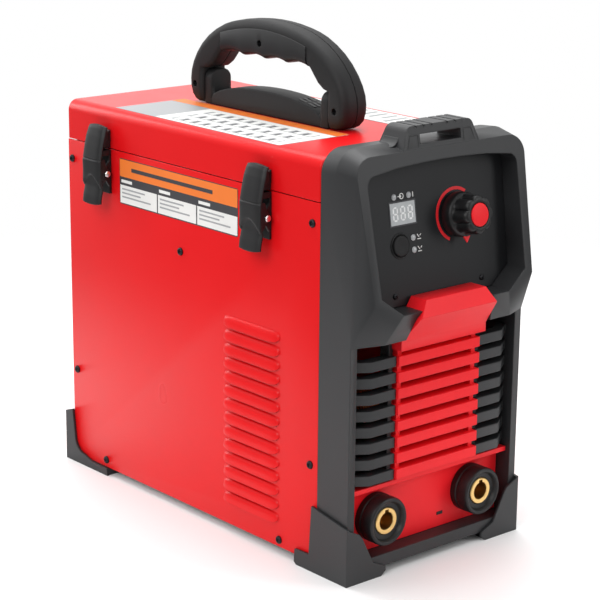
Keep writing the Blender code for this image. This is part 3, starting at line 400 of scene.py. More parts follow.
def loft(rings, bm=None):
    """Skin over closed rings of equal length, with a cap at each end."""
    bm = bm or bmesh.new()
    made = [[bm.verts.new(p) for p in ring] for ring in rings]
    count = len(rings[0])
    for first, second in zip(made, made[1:]):
        for i in range(count):
            j = (i + 1) % count
            bm.faces.new((first[i], first[j], second[j], second[i]))
    bm.faces.new(made[0])
    bm.faces.new(list(reversed(made[-1])))
    return bm


def prism(outline, axis, low, high, bm=None):
    return loft([[raised(p, axis, level) for p in outline] for level in (low, high)], bm)


def box(low, high):
    outline = [(low[0], low[1]), (high[0], low[1]), (high[0], high[1]), (low[0], high[1])]
    return prism(outline, "Z", low[2], high[2])


def hull(points):
    bm = bmesh.new()
    for p in points:
        bm.verts.new(p)
    found = bmesh.ops.convex_hull(bm, input=bm.verts)
    spare = {v for v in found["geom_interior"] if isinstance(v, bmesh.types.BMVert)}
    bmesh.ops.delete(bm, geom=list(spare), context="VERTS")
    bmesh.ops.dissolve_limit(bm, angle_limit=math.radians(1), verts=bm.verts, edges=bm.edges)
    return bm


def lathe(profile, axis, centre, sides=64):
    """Closed outline of (radius, height) turned about an axis through centre."""
    bm = bmesh.new()
    rings = []
    for radius, height in profile:
        if radius < 1e-7:
            rings.append([bm.verts.new((0, 0, height))])
            continue
        angles = [math.tau * i / sides for i in range(sides)]
        rings.append([bm.verts.new((radius * math.cos(a), radius * math.sin(a), height)) for a in angles])
    fresh = [v for ring in rings for v in ring]
    for first, second in zip(rings, rings[1:] + rings[:1]):
        for i in range(sides):
            j = (i + 1) % sides
            corners = list(dict.fromkeys((first[i % len(first)], first[j % len(first)],
                                          second[j % len(second)], second[i % len(second)])))
            if len(corners) > 2:
                bm.faces.new(corners)
    turn = {"X": Matrix.Rotation(math.pi / 2, 4, "Y"), "Y": Matrix.Rotation(-math.pi / 2, 4, "X"),
            "Z": Matrix.Identity(4)}[axis]
    bmesh.ops.transform(bm, matrix=Matrix.Translation(centre) @ turn, verts=fresh)
    return bm


def eased(bm, width, segments=2, angle=30):
    """Rounds every edge sharper than an angle."""
    bmesh.ops.recalc_face_normals(bm, faces=bm.faces)
    limit = math.radians(angle)
    edges = [e for e in bm.edges if len(e.link_faces) == 2 and e.calc_face_angle(0) > limit]
    bmesh.ops.bevel(bm, geom=edges, offset=width, segments=segments, profile=0.5,
                    affect="EDGES", clamp_overlap=True)
    return bm


def bare(name, bm, space=CASE, weld=1e-6):
    """A mesh object with its place in its vertices."""
    if weld:
        bmesh.ops.remove_doubles(bm, verts=bm.verts, dist=weld)
    bmesh.ops.recalc_face_normals(bm, faces=bm.faces)
    bmesh.ops.transform(bm, matrix=space, verts=bm.verts)
    mesh = bpy.data.meshes.new(name)
    bm.to_mesh(mesh)
    bm.free()
    obj = bpy.data.objects.new(name, mesh)
    bpy.context.scene.collection.objects.link(obj)
    return obj


def combined(target, operands, operation="DIFFERENCE"):
    """Boolean with several operands at once; the operands are removed."""
    bm = bmesh.new()
    for obj in operands:
        bm.from_mesh(obj.data)
        bpy.data.objects.remove(obj, do_unlink=True)
    mesh = bpy.data.meshes.new("operand")
    bm.to_mesh(mesh)
    bm.free()
    operand = bpy.data.objects.new("operand", mesh)
    bpy.context.scene.collection.objects.link(operand)
    modifier = target.modifiers.new("cut", "BOOLEAN")
    modifier.operation = operation
    modifier.solver = "EXACT"
    modifier.object = operand
    bpy.context.view_layer.update()
    settled(target)
    bpy.data.objects.remove(operand, do_unlink=True)
    return target


def joined(name, objects):
    """Several plain meshes as one object; their materials stay on their faces."""
    mesh = bpy.data.meshes.new(name)
    bm = bmesh.new()
    for obj in objects:
        start = len(bm.faces)
        bm.from_mesh(obj.data)
        bm.faces.ensure_lookup_table()
        real = [slot for slot in obj.data.materials if slot]
        for slot in real:
            if slot.name not in mesh.materials:
                mesh.materials.append(slot)
        order = [mesh.materials.find(slot.name) for slot in real]
        skipped = len(obj.data.materials) - len(real)
        for face in bm.faces[start:]:
            own = min(max(face.material_index - skipped, 0), len(order) - 1)
            face.material_index = order[own] if order else 0
    bm.to_mesh(mesh)
    bm.free()
    for obj in objects:
        bpy.data.objects.remove(obj, do_unlink=True)
    obj = bpy.data.objects.new(name, mesh)
    bpy.context.scene.collection.objects.link(obj)
    return obj


def fixed(obj, body, finish=None, stands_for=(), smooth=35):
    """Last step of a piece: its material, its shading, and the body it rides on."""
    if finish:
        obj.data.materials.clear()
        obj.data.materials.append(material(finish))
        for face in obj.data.polygons:
            face.material_index = 0
    obj.data.shade_smooth()
    obj.data.set_sharp_from_angle(angle=math.radians(smooth))
    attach(obj, body)
    if stands_for:
        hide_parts(*stands_for)
    return obj


def dressed(node, finish):
    """A CAD node that stays, with a better material."""
    obj = frame["nodes"][node]
    obj.data.materials.clear()
    obj.data.materials.append(material(finish))


def refined(node, body, finish, cutters=(), smooth=32):
    """A merged copy of a CAD node, cut by the cutters, with even shading over its curves."""
    bm = bmesh.new()
    bm.from_mesh(frame["nodes"][node].data)
    bmesh.ops.remove_doubles(bm, verts=bm.verts, dist=2e-6)
    bmesh.ops.dissolve_limit(bm, angle_limit=math.radians(0.3), verts=bm.verts, edges=bm.edges)
    mesh = bpy.data.meshes.new(node + "_skin")
    bm.to_mesh(mesh)
    bm.free()
    obj = bpy.data.objects.new(node + "_skin", mesh)
    bpy.context.scene.collection.objects.link(obj)
    for cutter in cutters:
        combined(obj, [cutter])
    obj.data.shade_smooth()
    obj.data.set_sharp_from_angle(angle=math.radians(smooth))
    obj.modifiers.new("weights", "WEIGHTED_NORMAL").keep_sharp = True
    settled(obj)
    obj.data.materials.clear()
    obj.data.materials.append(material(finish))
    for face in obj.data.polygons:
        face.material_index = 0
    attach(obj, body)
    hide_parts(node)
    return obj


# ---------------------------------------------------------------- case
def louvre(settings):
    """One pressed louvre on the left side: a dome with rounded ends, open along its lower edge."""
    low_y, high_y = settings.louvre_start, settings.louvre_end
    out, height, wall = 0.0032, 0.0085, 0.0009
    top = settings.louvre_top
    rings = []
    steps = 26
    for i in range(steps + 1):
        u = -math.cos(math.pi * i / steps)
        swell = max(1 - abs(u) ** 9, 0.0) ** 0.5
        y = (low_y + high_y) / 2 + u * (high_y - low_y) / 2
        ring = [(-0.0004, y, top)]
        for k in range(1, 9):
            t = k / 8
            drop = height * (1 - math.cos(t * math.pi / 2)) ** 0.9
            rise = out * math.sin(t * math.pi / 2) ** 0.85 * swell
            ring.append((rise, y, top - height + (height - drop) * swell - (1 - swell) * -height * 0.5))
        inner = max(out * swell - wall, 0.0)
        ring.append((inner, y, ring[-1][2]))
        ring.append((inner * 0.9, y, ring[-1][2] + height * 0.35 * swell))
        ring.append((-0.0004, y, ring[-1][2] + height * 0.2 * swell))
        rings.append([(-(HALF + x), y2, z) for x, y2, z in ring])
    return loft(rings)


def side_panel(name, side, settings):
    """Flat sheet side with slots behind pressed louvres."""
    inner, outer = sorted((side * (HALF - SHEET), side * HALF))
    sheet = bare("sheet", eased(box((inner, 0, 0), (outer, DEPTH, SEAM)), 0.0004, 2))
    slots = []
    for i in range(settings.louvre_count):
        top = settings.louvre_top - i * settings.louvre_pitch
        slots.append(bare("slot", box((inner - 0.002, settings.louvre_start + 0.003, top - 0.0080),
                                      (outer + 0.002, settings.louvre_end - 0.003, top - 0.0036))))
    combined(sheet, slots)
    sheet.data.materials.clear()
    sheet.data.materials.append(material("paint"))
    hoods = bare("hoods", louvre(settings))
    if side > 0:
        bm = bmesh.new()
        bm.from_mesh(hoods.data)
        flip = CASE @ Matrix.Scale(-1, 4, (1, 0, 0)) @ CASE.inverted()
        bmesh.ops.transform(bm, matrix=flip, verts=bm.verts)
        bmesh.ops.reverse_faces(bm, faces=bm.faces)
        bm.to_mesh(hoods.data)
        bm.free()
    grown(hoods, "copies_in_a_row", "paint", Count=settings.louvre_count,
          Step=(0, 0, -settings.louvre_pitch))
    fixed(joined(name + "_skin", [sheet, hoods]), "case", None, [name], 40)


def lid_outline(inset, low, steps=10):
    half = HALF - inset
    top = TOP - inset
    bend = 0.0085 - inset
    return mirrored([(half, low)] + arc((half - bend, top - bend), bend, 0, 90, steps))


def lid_skin():
    """Folded lid with softened ends."""
    low = LID_BOX[0].z - ORIGIN.z
    rings = []
    end = 0.0016
    for k in range(5):
        a = math.pi / 2 * k / 4
        inset = end * (1 - math.sin(a))
        rings.append([raised(p, "Y", GAP + end * (1 - math.cos(a))) for p in lid_outline(inset, low)])
    for k in range(5):
        a = math.pi / 2 * (1 - k / 4)
        inset = end * (1 - math.sin(a))
        rings.append([raised(p, "Y", DEPTH - end * (1 - math.cos(a))) for p in lid_outline(inset, low)])
    skin = bare("skin", loft(rings))
    hollow = prism(lid_outline(SHEET, low - 0.01), "Y", GAP + SHEET, DEPTH - SHEET)
    combined(skin, [bare("hollow", hollow)])
    fixed(skin, "lid_body", "paint", ["lid"], 40).name = "lid_skin"


class Settings(bpy.types.PropertyGroup):
    """Sizes and colours of the welder."""

    paint: FloatVectorProperty(name="Paint", description="Colour of the sheet metal", subtype="COLOR",
                               size=3, min=0, max=1, default=RED)
    trim: FloatVectorProperty(name="Trim", description="Colour of the front trim", subtype="COLOR",
                              size=3, min=0, max=1, default=TRIM)
    plastic: FloatVectorProperty(name="Plastic", description="Colour of the front moulding",
                                 subtype="COLOR", size=3, min=0, max=1, default=CHARCOAL)
    label: FloatVectorProperty(name="Label", description="Colour of the label headers",
                               subtype="COLOR", size=3, min=0, max=1, default=(0.85, 0.20, 0.03))
    louvre_count: IntProperty(name="Louvres", description="Louvres on each side", default=14, min=1, max=20)
    louvre_pitch: FloatProperty(name="Louvre pitch", description="Height from one louvre to the next",
                                default=0.0108, unit="LENGTH", precision=4)
    louvre_top: FloatProperty(name="Louvre top",
                              description="Height of the first louvre above the case's underside",
                              default=0.1670, unit="LENGTH", precision=4)
    louvre_start: FloatProperty(name="Louvre start", description="Front end of the louvres",
                                default=0.0425, unit="LENGTH", precision=4)
    louvre_end: FloatProperty(name="Louvre end", description="Rear end of the louvres",
                              default=0.1080, unit="LENGTH", precision=4)
    knob_lobes: IntProperty(name="Knob lobes", description="Grip lobes round the knob",
                            default=8, min=3, max=16)


class CasePanels(bpy.types.Operator):
    """Sheet-metal sides with louvres, rear panel, lid and the tray under it"""

    bl_idname = "welder.case_panels"
    bl_label = "Case panels"

    def execute(self, context):
        settings = context.scene.welder
        side_panel("left_side_panel", -1, settings)
        side_panel("right_side_panel", 1, settings)
        lid_skin()
        dressed("rear_panel", "paint")
        dressed("base_tray", "steel")
        dressed("storage_tray", "soft_black")
        for node in ("hinge_case_leaf", "hinge_lid_leaf", "hinge_pin"):
            dressed(node, "steel")
        return {"FINISHED"}


# ---------------------------------------------------------------- screws
def screw_item(name, radius, height):
    """Pan head with a cross recess, standing on z = 0."""
    profile = [(0, -0.0008), (radius * 0.98, -0.0008), (radius, 0.0)]
    for k in range(7):
        a = math.pi / 2 * k / 6
        profile.append((radius * math.cos(a) ** 0.7 if k < 6 else 0, height * math.sin(a) ** 0.8 + 0.0001))
    head = bare(name, lathe(profile, "Z", (0, 0, 0), 28), Matrix.Identity(4))
    arm, slot = radius * 0.60, radius * 0.14
    quarter = [(arm, -slot), (arm, slot), (slot, slot)]
    levels = [(height + 0.001, 1.15), (height * 0.15, 0.55)]
    rings = []
    for level, share in levels:
        ring = []
        for turn in range(4):
            c, n = (1, 0, -1, 0)[turn], (0, 1, 0, -1)[turn]
            ring += [((x * c - y * n) * share, (x * n + y * c) * share, level) for x, y in quarter]
        rings.append(ring)
    return combined(head, [bare("recess", loft(rings), Matrix.Identity(4))])


def screws(name, body, finish, places, radius, height):
    """places: (point, facing, spin) with points on the surface."""
    mesh = bpy.data.meshes.new(name)
    mesh.from_pydata([CASE @ Vector(p) for p, facing, spin in places], [], [])
    mesh.attributes.new("facing", "FLOAT_VECTOR", "POINT")
    mesh.attributes.new("spin", "FLOAT", "POINT")
    for i, (point, facing, spin) in enumerate(places):
        mesh.attributes["facing"].data[i].vector = facing
        mesh.attributes["spin"].data[i].value = math.radians(spin)
    obj = bpy.data.objects.new(name, mesh)
    bpy.context.scene.collection.objects.link(obj)
    item = screw_item("screw_item", radius, height)
    grown(obj, "copies_on_points", finish, Item=item)
    bpy.data.objects.remove(item, do_unlink=True)
    return fixed(obj, body, None)


class Screws(bpy.types.Operator):
    """Screws of the case, the control panel and the rear; the handle's screws come with the handle"""

    bl_idname = "welder.screws"
    bl_label = "Screws"

    def execute(self, context):
        heights = [(0.3054, 0.2549), (0.1614, 0.2047), (0.0081, 0.2549), (0.3044, 0.0756),
                   (0.0078, 0.0750), (0.2646, 0.0064), (0.0421, 0.0057)]
        places = [((side * HALF, y, z), (side, 0, 0), 17 + 31 * i)
                  for side in (-1, 1) for i, (y, z) in enumerate(heights)
                  if side < 0 or z < 0.25]
        screws("case_screws", "case", "black_steel", places, 0.0031, 0.0019)
        places = [((x, REAR_FACE, z), (0, 1, 0), 25 + 40 * i) for i, (x, z) in enumerate(
            [(-0.078, 0.020), (0.078, 0.020), (-0.078, 0.135), (0.078, 0.135), (-0.078, 0.250),
             (0.078, 0.250), (0, 0.250)])]
        places += [((x, REAR_FACE + 0.0026, z), (0, 1, 0), 12 + 20 * x * 1000) for x in (-0.0365, 0.0365)
                   for z in (0.112 - 0.0365, 0.112 + 0.0365)]
        screws("rear_screws", "case", "black_steel", places, 0.0030, 0.0018)
        lean = Vector((0, FACING.y, FACING.z))
        down = (0.2028 - KNOB_AT.z) / math.cos(TILT)
        places = []
        for x in (-0.0434, 0.0436):
            spot = PANEL @ Vector((x - KNOB_AT.x, -0.0001, down))
            places.append((spot - ORIGIN, lean, 20 + x * 900))
        screws("panel_screws", "case", "black_steel", places, 0.0022, 0.0011)
        return {"FINISHED"}


# ---------------------------------------------------------------- labels
def printed(name, body, blocks, side="left"):
    """A label from flat blocks, (finish, (a0, b0), (a1, b1), level), on the left, the rear or the top."""
    parts = []
    for finish, low, high, level in blocks:
        corner = 0.0016 if level == 0 else 0.0
        (a0, b0), (a1, b1) = low, high
        if corner:
            outline = []
            for ca, cb, start in ((a1 - corner, b1 - corner, 0), (a0 + corner, b1 - corner, 90),
                                  (a0 + corner, b0 + corner, 180), (a1 - corner, b0 + corner, 270)):
                outline += arc((ca, cb), corner, start, start + 90, 5)
        else:
            outline = [(a0, b0), (a1, b0), (a1, b1), (a0, b1)]
        if side == "left":
            base = -(HALF + level * PRINT)
            bm = prism(outline, "X", base - PRINT, base)
        elif side == "rear":
            base = REAR_FACE + level * PRINT
            bm = prism(outline, "Y", base, base + PRINT)
        else:
            base = TOP + level * PRINT
            bm = prism(outline, "Z", base, base + PRINT)
        part = bare("part", bm, CASE, 0)
        part.data.materials.append(material(finish))
        parts.append(part)
    return fixed(joined(name, parts), body)


def rows(finish, a0, a1, b0, b1, count, level, ragged):
    """Plain bars that stand for printed rows, with ragged ends and no lettering."""
    made = []
    step = (b1 - b0) / count
    for i in range(count):
        start = a0 + (a1 - a0) * ragged * ((i * 37) % 10) / 10
        made.append((finish, (start, b0 + step * (i + 0.28)), (a1, b0 + step * (i + 0.66)), level))
    return made


class Labels(bpy.types.Operator):
    """Plain labels on the side, the top and the rear, without lettering"""

    bl_idname = "welder.labels"
    bl_label = "Labels"

    def execute(self, context):
        y0, y1, z0, z1 = 0.0915, 0.2400, 0.2290, 0.2655
        blocks = [("print_dark", (y0, z0), (y1, z1), 0),
                  ("print_orange", (y0 + 0.0006, z1 - 0.0145), (y1 - 0.0006, z1 - 0.0006), 1)]
        third = (y1 - y0) / 3
        for k in range(3):
            a = y0 + k * third + 0.0006
            blocks.append(("print_white", (a, z0 + 0.0009), (a + third - 0.0014, z1 - 0.0212), 1))
            blocks.append(("print_white", (a + third - 0.0170, z1 - 0.0192),
                           (a + third - 0.0030, z1 - 0.0168), 1))
            blocks += rows("print_grey", a + 0.008, a + third - 0.004, z1 - 0.0320, z1 - 0.0225, 3, 2, 0.5)
        blocks += [("print_dark", (y0 + 0.030, z1 - 0.0092), (y1 - 0.016, z1 - 0.0062), 2)]
        printed("side_label", "case", blocks)

        x0, x1, y0, y1 = -0.0793, -0.0243, 0.0540, 0.2550
        blocks = [("print_grey", (x0, y0), (x1 + 0.0135, y1), 0),
                  ("print_white", (x0 + 0.0006, y0 + 0.0006), (x1, y1 - 0.052), 1),
                  ("print_orange", (x1 + 0.0008, y0 + 0.0006), (x1 + 0.0129, y1 - 0.0006), 1)]
        column, row = 0.0165, 0.0128
        for k in range(3):
            x = x0 + column * k
            blocks.append(("print_grey", (x + 0.0050, y0 + 0.010), (x + 0.0150, y1 - 0.064), 2))
            for j in range(10):
                y = y0 + row * j
                blocks.append(("print_white", (x + 0.0058, y + 0.0108), (x + 0.0142, y + 0.0170), 3))
                if j < 9:
                    blocks.append(("print_dark", (x + 0.0068, y + 0.0185), (x + 0.0125, y + 0.0205), 3))
        printed("top_label_left", "lid_body", blocks, "top")
        x0, x1 = 0.0420, 0.0760
        printed("top_label_right", "lid_body", [
            ("print_grey", (x0, 0.062), (x1, 0.244), 0),
            ("print_white", (x0 + 0.0006, 0.0626), (x1 - 0.0006, 0.2434), 1)]
            + rows("print_grey", x0 + 0.005, x1 - 0.004, 0.074, 0.232, 14, 2, 0.5), "top")
        printed("rear_label", "case", [
            ("print_dark", (-0.020, 0.180), (0.026, 0.214), 0),
            ("print_white", (-0.0194, 0.1806), (0.0254, 0.2134), 1)]
            + rows("print_grey", -0.016, 0.022, 0.184, 0.210, 6, 2, 0.4), "rear")
        return {"FINISHED"}


# ---------------------------------------------------------------- latches
def along(profile, t):
    """A point at height t on a list of (height, out), by straight runs."""
    for (z0, u0), (z1, u1) in zip(profile, profile[1:]):
        if z0 <= t <= z1:
            return u0 + (u1 - u0) * (t - z0) / max(z1 - z0, 1e-9)
    return profile[-1][1] if t > profile[-1][0] else profile[0][1]


def smoothed(low, high, t):
    s = min(max((t - low) / (high - low), 0.0), 1.0)
    return s * s * (3 - 2 * s)


LEVER_SKIN = [(-0.0248, 0.0151), (-0.0170, 0.0147), (-0.0100, 0.0141), (0.0, 0.0146), (0.0100, 0.0148),
              (0.0150, 0.0138), (0.0220, 0.0124), (0.0300, 0.0106), (0.0360, 0.0088), (0.0384, 0.0074)]
LEVER_BACK = [(-0.0248, 0.0132), (-0.0100, 0.0118), (0.0060, 0.0122), (0.0234, 0.0096), (0.0284, 0.0052),
              (0.0384, 0.0051)]


def lever_mesh(pin, half):
    """Crowned lever: upper plate, a seam, an arched shoulder, and a flared foot below it."""
    columns, lines = 20, 96
    outer, inner = [], []
    low, high = -0.0248, 0.0384
    for i in range(lines + 1):
        t = low + (high - low) * i / lines
        front_row, back_row = [], []
        for k in range(columns + 1):
            s = -1 + 2 * k / columns
            y = pin.y + s * (half - 0.0006 * smoothed(0.028, 0.0384, t))
            u = along(LEVER_SKIN, t)
            shoulder = -0.0006 - 0.0100 * abs(s) ** 1.6
            below = 1 - smoothed(shoulder - 0.0009, shoulder + 0.0005, t)
            u -= 0.0016 * below * smoothed(-0.0235, -0.0060, t)
            u -= 0.0006 * smoothed(0.0006, 0, abs(t - 0.0115))
            u -= 0.0011 * abs(s) ** 4 + 0.0012 * abs(s) ** 14
            z = t - 0.0014 * abs(s) ** 2 * smoothed(0.02, 0.0384, t)
            z += 0.0012 * abs(s) ** 2 * (1 - smoothed(-0.0248, -0.012, t))
            front_row.append((-(HALF + u), y, pin.z + z))
            back_row.append((-(HALF + min(along(LEVER_BACK, t), u - 0.0008)), y, pin.z + z))
        outer.append(front_row)
        inner.append(back_row)
    rings = [a + list(reversed(b)) for a, b in zip(outer, inner)]
    return loft(rings)


def latch(prefix):
    pin = LATCH_PINS[prefix]
    half = 0.0120
    node = prefix + "_latch_lever"
    parts = [bare("skin", lever_mesh(pin, half))]
    cheek = [(0.0128, 0.0112), (0.0134, -0.0080), (0.0122, -0.0112), (0.0058, -0.0034), (0.0030, -0.0016),
             (0.0028, 0.0022), (0.0056, 0.0042), (0.0085, 0.0120)]
    for low in (pin.y - half, pin.y + half - 0.0022):
        outline = [(-(HALF + u), pin.z + z) for u, z in cheek]
        parts.append(bare("cheek", eased(prism(outline, "Y", low + 0.0001, low + 0.0021), 0.0005, 2)))
    for level in (0.0030, -0.0040):
        rib = [(-(HALF + 0.0122), pin.z + level), (-(HALF + 0.0122), pin.z + level - 0.0012),
               (-(HALF + 0.0080), pin.z + level - 0.0012), (-(HALF + 0.0080), pin.z + level)]
        for side in (-1, 1):
            at = pin.y + side * (half - 0.00005)
            parts.append(bare("rib", prism(rib, "Y", at - 0.0002, at + 0.0003)))
    for part in parts:
        part.data.materials.append(material("black"))
    fixed(joined(prefix + "_lever_skin", parts), prefix + "_latch", None, [node], 40)

    reach = half + 0.0003
    head = [(0, -reach - 0.0011), (0.0012, -reach - 0.0011), (0.0021, -reach - 0.0008), (0.0026, -reach),
            (0.0014, -reach + 0.0001), (0.0014, reach - 0.0001), (0.0026, reach), (0.0021, reach + 0.0008),
            (0.0012, reach + 0.0011), (0, reach + 0.0011)]
    rivet = bare(prefix + "_rivet", lathe(head, "Y", pin, 28))
    fixed(rivet, "case", "bright_steel", [prefix + "_latch_pin"])
    foot = [(0.0002, 0.0140), (0.0085, 0.0140), (0.0085, 0.0172), (0.0070, 0.0186), (0.0002, 0.0186)]
    hook = [(0.0002, 0.0202), (0.0066, 0.0202), (0.0066, 0.0240), (0.0040, 0.0272), (0.0002, 0.0272)]
    for word, body, outline, wide in (("stop", "case", foot, 0.0094), ("catch", "lid_body", hook, 0.0088)):
        block = prism([(-(HALF + u), pin.z + z) for u, z in outline], "Y", pin.y - wide, pin.y + wide)
        fixed(bare(prefix + "_latch_" + word, eased(block, 0.0004, 2)), body, "black")
    dressed(prefix + "_latch_base", "black")
    dressed(prefix + "_latch_keeper", "black")


class Latches(bpy.types.Operator):
    """The two side latches with their rivets and keepers"""

    bl_idname = "welder.latches"
    bl_label = "Latches"

    def execute(self, context):
        for prefix in LATCH_PINS:
            latch(prefix)
        return {"FINISHED"}


# ---------------------------------------------------------------- handle
HANDLE_Y = 0.1540
HANDLE_HALF_W = 0.0130
HANDLE_RUN = [
    # (outer distance, outer height, inner distance, inner height, half width)
    (0.0880, 0.0012, 0.0752, 0.0012, 0.0098), (0.0925, 0.0030, 0.0752, 0.0022, 0.0112),
    (0.0968, 0.0070, 0.0752, 0.0060, 0.0124), (0.0990, 0.0130, 0.0752, 0.0120, 0.0129),
    (0.0995, 0.0190, 0.0752, 0.0190, 0.0129), (0.0982, 0.0260, 0.0752, 0.0240, 0.0128),
    (0.0945, 0.0335, 0.0751, 0.0284, 0.0126), (0.0890, 0.0410, 0.0690, 0.0296, 0.0125),
    (0.0810, 0.0490, 0.0630, 0.0335, 0.0125), (0.0720, 0.0560, 0.0585, 0.0385, 0.0125),
    (0.0620, 0.0618, 0.0545, 0.0435, 0.0126), (0.0530, 0.0657, 0.0520, 0.0452, 0.0127),
]
GRIP_RUN = [
    # (distance, outer height)
    (0.0513, 0.0664), (0.0430, 0.0690), (0.0330, 0.0711), (0.0220, 0.0727), (0.0110, 0.0736), (0.0, 0.0739),
]


def half_section(outer, inner, wide, side, steps=7):
    """Half of a rounded box section between an outer and an inner point; the flat side is the parting."""
    height = (outer - inner).length
    up = (outer - inner) / height
    big, small = min(0.0068, height * 0.42), min(0.0040, height * 0.3)
    edge = 0.00045
    points = [(edge, 0.0), ((wide - big) * 0.55, 0.00010)]
    points += [(wide - big + big * math.sin(math.pi / 2 * k / steps),
                0.0003 + big - big * math.cos(math.pi / 2 * k / steps)) for k in range(steps + 1)]
    points += [(wide - small + small * math.cos(math.pi / 2 * k / steps),
                height - small + small * math.sin(math.pi / 2 * k / steps)) for k in range(steps + 1)]
    points.append((edge, height))
    points = [(0.00012, 0.0007)] + points + [(0.00012, height - 0.0007)]
    return [(side * x, *(outer - up * drop)) for x, drop in points]


def handle_rings(side):
    """Sections from the rear foot over the grip to the front foot."""
    legs = []
    for sign, trim in ((-1, 0.0036), (1, 0.0058)):
        leg = []
        for far, high, near, low, wide in HANDLE_RUN:
            far -= trim * (far / 0.0995) ** 6
            outer = Vector((HANDLE_Y + sign * far, TOP + high))
            inner = Vector((HANDLE_Y + sign * near, TOP + low))
            leg.append((outer, inner, wide))
        legs.append(leg)
    middle = []
    for sign, run in ((-1, GRIP_RUN), (1, GRIP_RUN[-2::-1])):
        for far, high in run:
            middle.append((Vector((HANDLE_Y + sign * far, TOP + high)),
                           Vector((HANDLE_Y + sign * far, TOP + high - 0.0170)), 0.0128))
    full = legs[0] + middle + legs[1][::-1]
    return [half_section(outer, inner, wide, side) for outer, inner, wide in full]


def grip_rings():
    """Four finger hollows along the underside; the side faces are slightly proud of the shell."""
    half, under = 0.0512, 0.0450
    steps, fingers = 80, 4
    rings = []
    for i in range(steps + 1):
        y = -half + 2 * half * i / steps
        t = (y + half) / (2 * half) * fingers
        scallop = 0.0021 * (abs(math.sin(math.pi * t)) ** 0.8 - 0.45)
        low = TOP + under + scallop
        high = TOP + 0.0672 - 0.0074 * (y / half) ** 2
        ring = []
        for k in range(17):
            a = math.pi * k / 16
            c, n = math.cos(a), math.sin(a)
            x = 0.01325 * math.copysign(abs(c) ** 0.5, c)
            ring.append((x, HANDLE_Y + y, low + 0.0060 - 0.0060 * n ** 0.8))
        edge = [(0.0122, high), (0.0128, high - 0.0002), (0.01325, high - 0.0007)]
        rings.append([(x, HANDLE_Y + y, z) for x, z in edge] + ring
                     + [(-x, HANDLE_Y + y, z) for x, z in reversed(edge)])
    return rings


def saddle():
    """Arched base with a round-topped ear at each end."""
    low = TOP + GAP
    half, ear_y, ear = 0.0745, 0.0660, 0.0276
    steps = 24
    crown = [(HANDLE_Y + ear_y * math.cos(math.pi * i / steps),
              low + 0.0050 + 0.0140 * math.sin(math.pi * i / steps)) for i in range(steps + 1)]
    run = ear_y + 0.0022
    outline = [(HANDLE_Y - run, low), (HANDLE_Y + run, low), (HANDLE_Y + run, low + 0.0050)]
    outline += crown + [(HANDLE_Y - run, low + 0.0050)]
    parts = [bare("saddle", eased(prism(outline, "X", -0.0100, 0.0100), 0.0009, 3))]
    for side in (-1, 1):
        tall = [(0.0103, low)] + arc((0.0103 - 0.0078, low + ear - 0.0078), 0.0078, 0, 90, 8)
        near, far = sorted((HANDLE_Y + side * ear_y, HANDLE_Y + side * half))
        parts.append(bare("ear", eased(prism(mirrored(tall), "Y", near, far), 0.0011, 3)))
        web = [(HANDLE_Y + side * (ear_y + 0.001), low + 0.004),
               (HANDLE_Y + side * (ear_y + 0.001), low + 0.0150)]
        web += [(HANDLE_Y + side * (ear_y - 0.0110 * (1 - math.cos(math.pi / 2 * k / 6))),
                 low + 0.0060 + 0.0090 * (1 - math.sin(math.pi / 2 * k / 6))) for k in range(1, 7)]
        web.append((HANDLE_Y + side * (ear_y - 0.0110), low + 0.004))
        for x in (-0.0084, 0.0084):
            parts.append(bare("web", eased(prism(web, "X", x - 0.0011, x + 0.0011), 0.0004, 2)))
    return parts


class Handle(bpy.types.Operator):
    """Carrying handle: two shells, a soft finger grip and the arched base"""

    bl_idname = "welder.handle"
    bl_label = "Handle"

    def execute(self, context):
        spots = [(HANDLE_Y + 0.0029, TOP + 0.0560), (HANDLE_Y - 0.0840, TOP + 0.0150),
                 (HANDLE_Y + 0.0840, TOP + 0.0150)]
        for side, word in ((-1, "left"), (1, "right")):
            shell = bare(f"handle_{word}_skin", loft(handle_rings(side)))
            combined(shell, [self.hole(side, y, z) for y, z in spots[1:]])
            fixed(shell, "lid_body", "soft_black", [f"handle_{word}_shell"], 50)
        grip = bare("handle_grip_skin", loft(grip_rings()))
        combined(grip, [self.hole(side, *spots[0]) for side in (-1, 1)])
        fixed(grip, "lid_body", "black", ["handle_grip_insert"], 50)
        fixed(joined("handle_saddle", saddle()), "lid_body", "soft_black", ["handle_base"])
        places = [((side * (HANDLE_HALF_W - 0.0030), y, z), (side, 0, 0), 30 + y * 500)
                  for y, z in spots for side in (-1, 1)]
        screws("handle_screws", "lid_body", "black_steel", places, 0.0023, 0.0008)
        self.marks()
        return {"FINISHED"}

    def hole(self, side, y, z):
        low, high = sorted((side * (HANDLE_HALF_W - 0.0030), side * (HANDLE_HALF_W + 0.002)))
        profile = [(0.0, low), (0.0026, low), (0.0026, high), (0.0, high)]
        return bare("hole", lathe(profile, "X", (0, y, z), 32))

    def marks(self):
        """Short raised bars on the base beside the front ear."""
        parts = []
        for row in range(3):
            for k in range(2):
                y = HANDLE_Y - 0.0500 + 0.0105 * k
                f = (y - HANDLE_Y) / 0.0660
                level = TOP + GAP + 0.0050 + 0.0140 * (1 - f * f) ** 0.5
                x = -0.0045 + 0.0045 * row
                points = [(x + dx, y + dy, level + dz - 0.0001 + 0.22 * dy) for dx in (-0.0011, 0.0011)
                          for dy in (-0.0040, 0.0040) for dz in (0.0, 0.0004)]
                parts.append(bare("bar", hull(points)))
        fixed(joined("handle_base_marks", parts), "lid_body", "insulator")


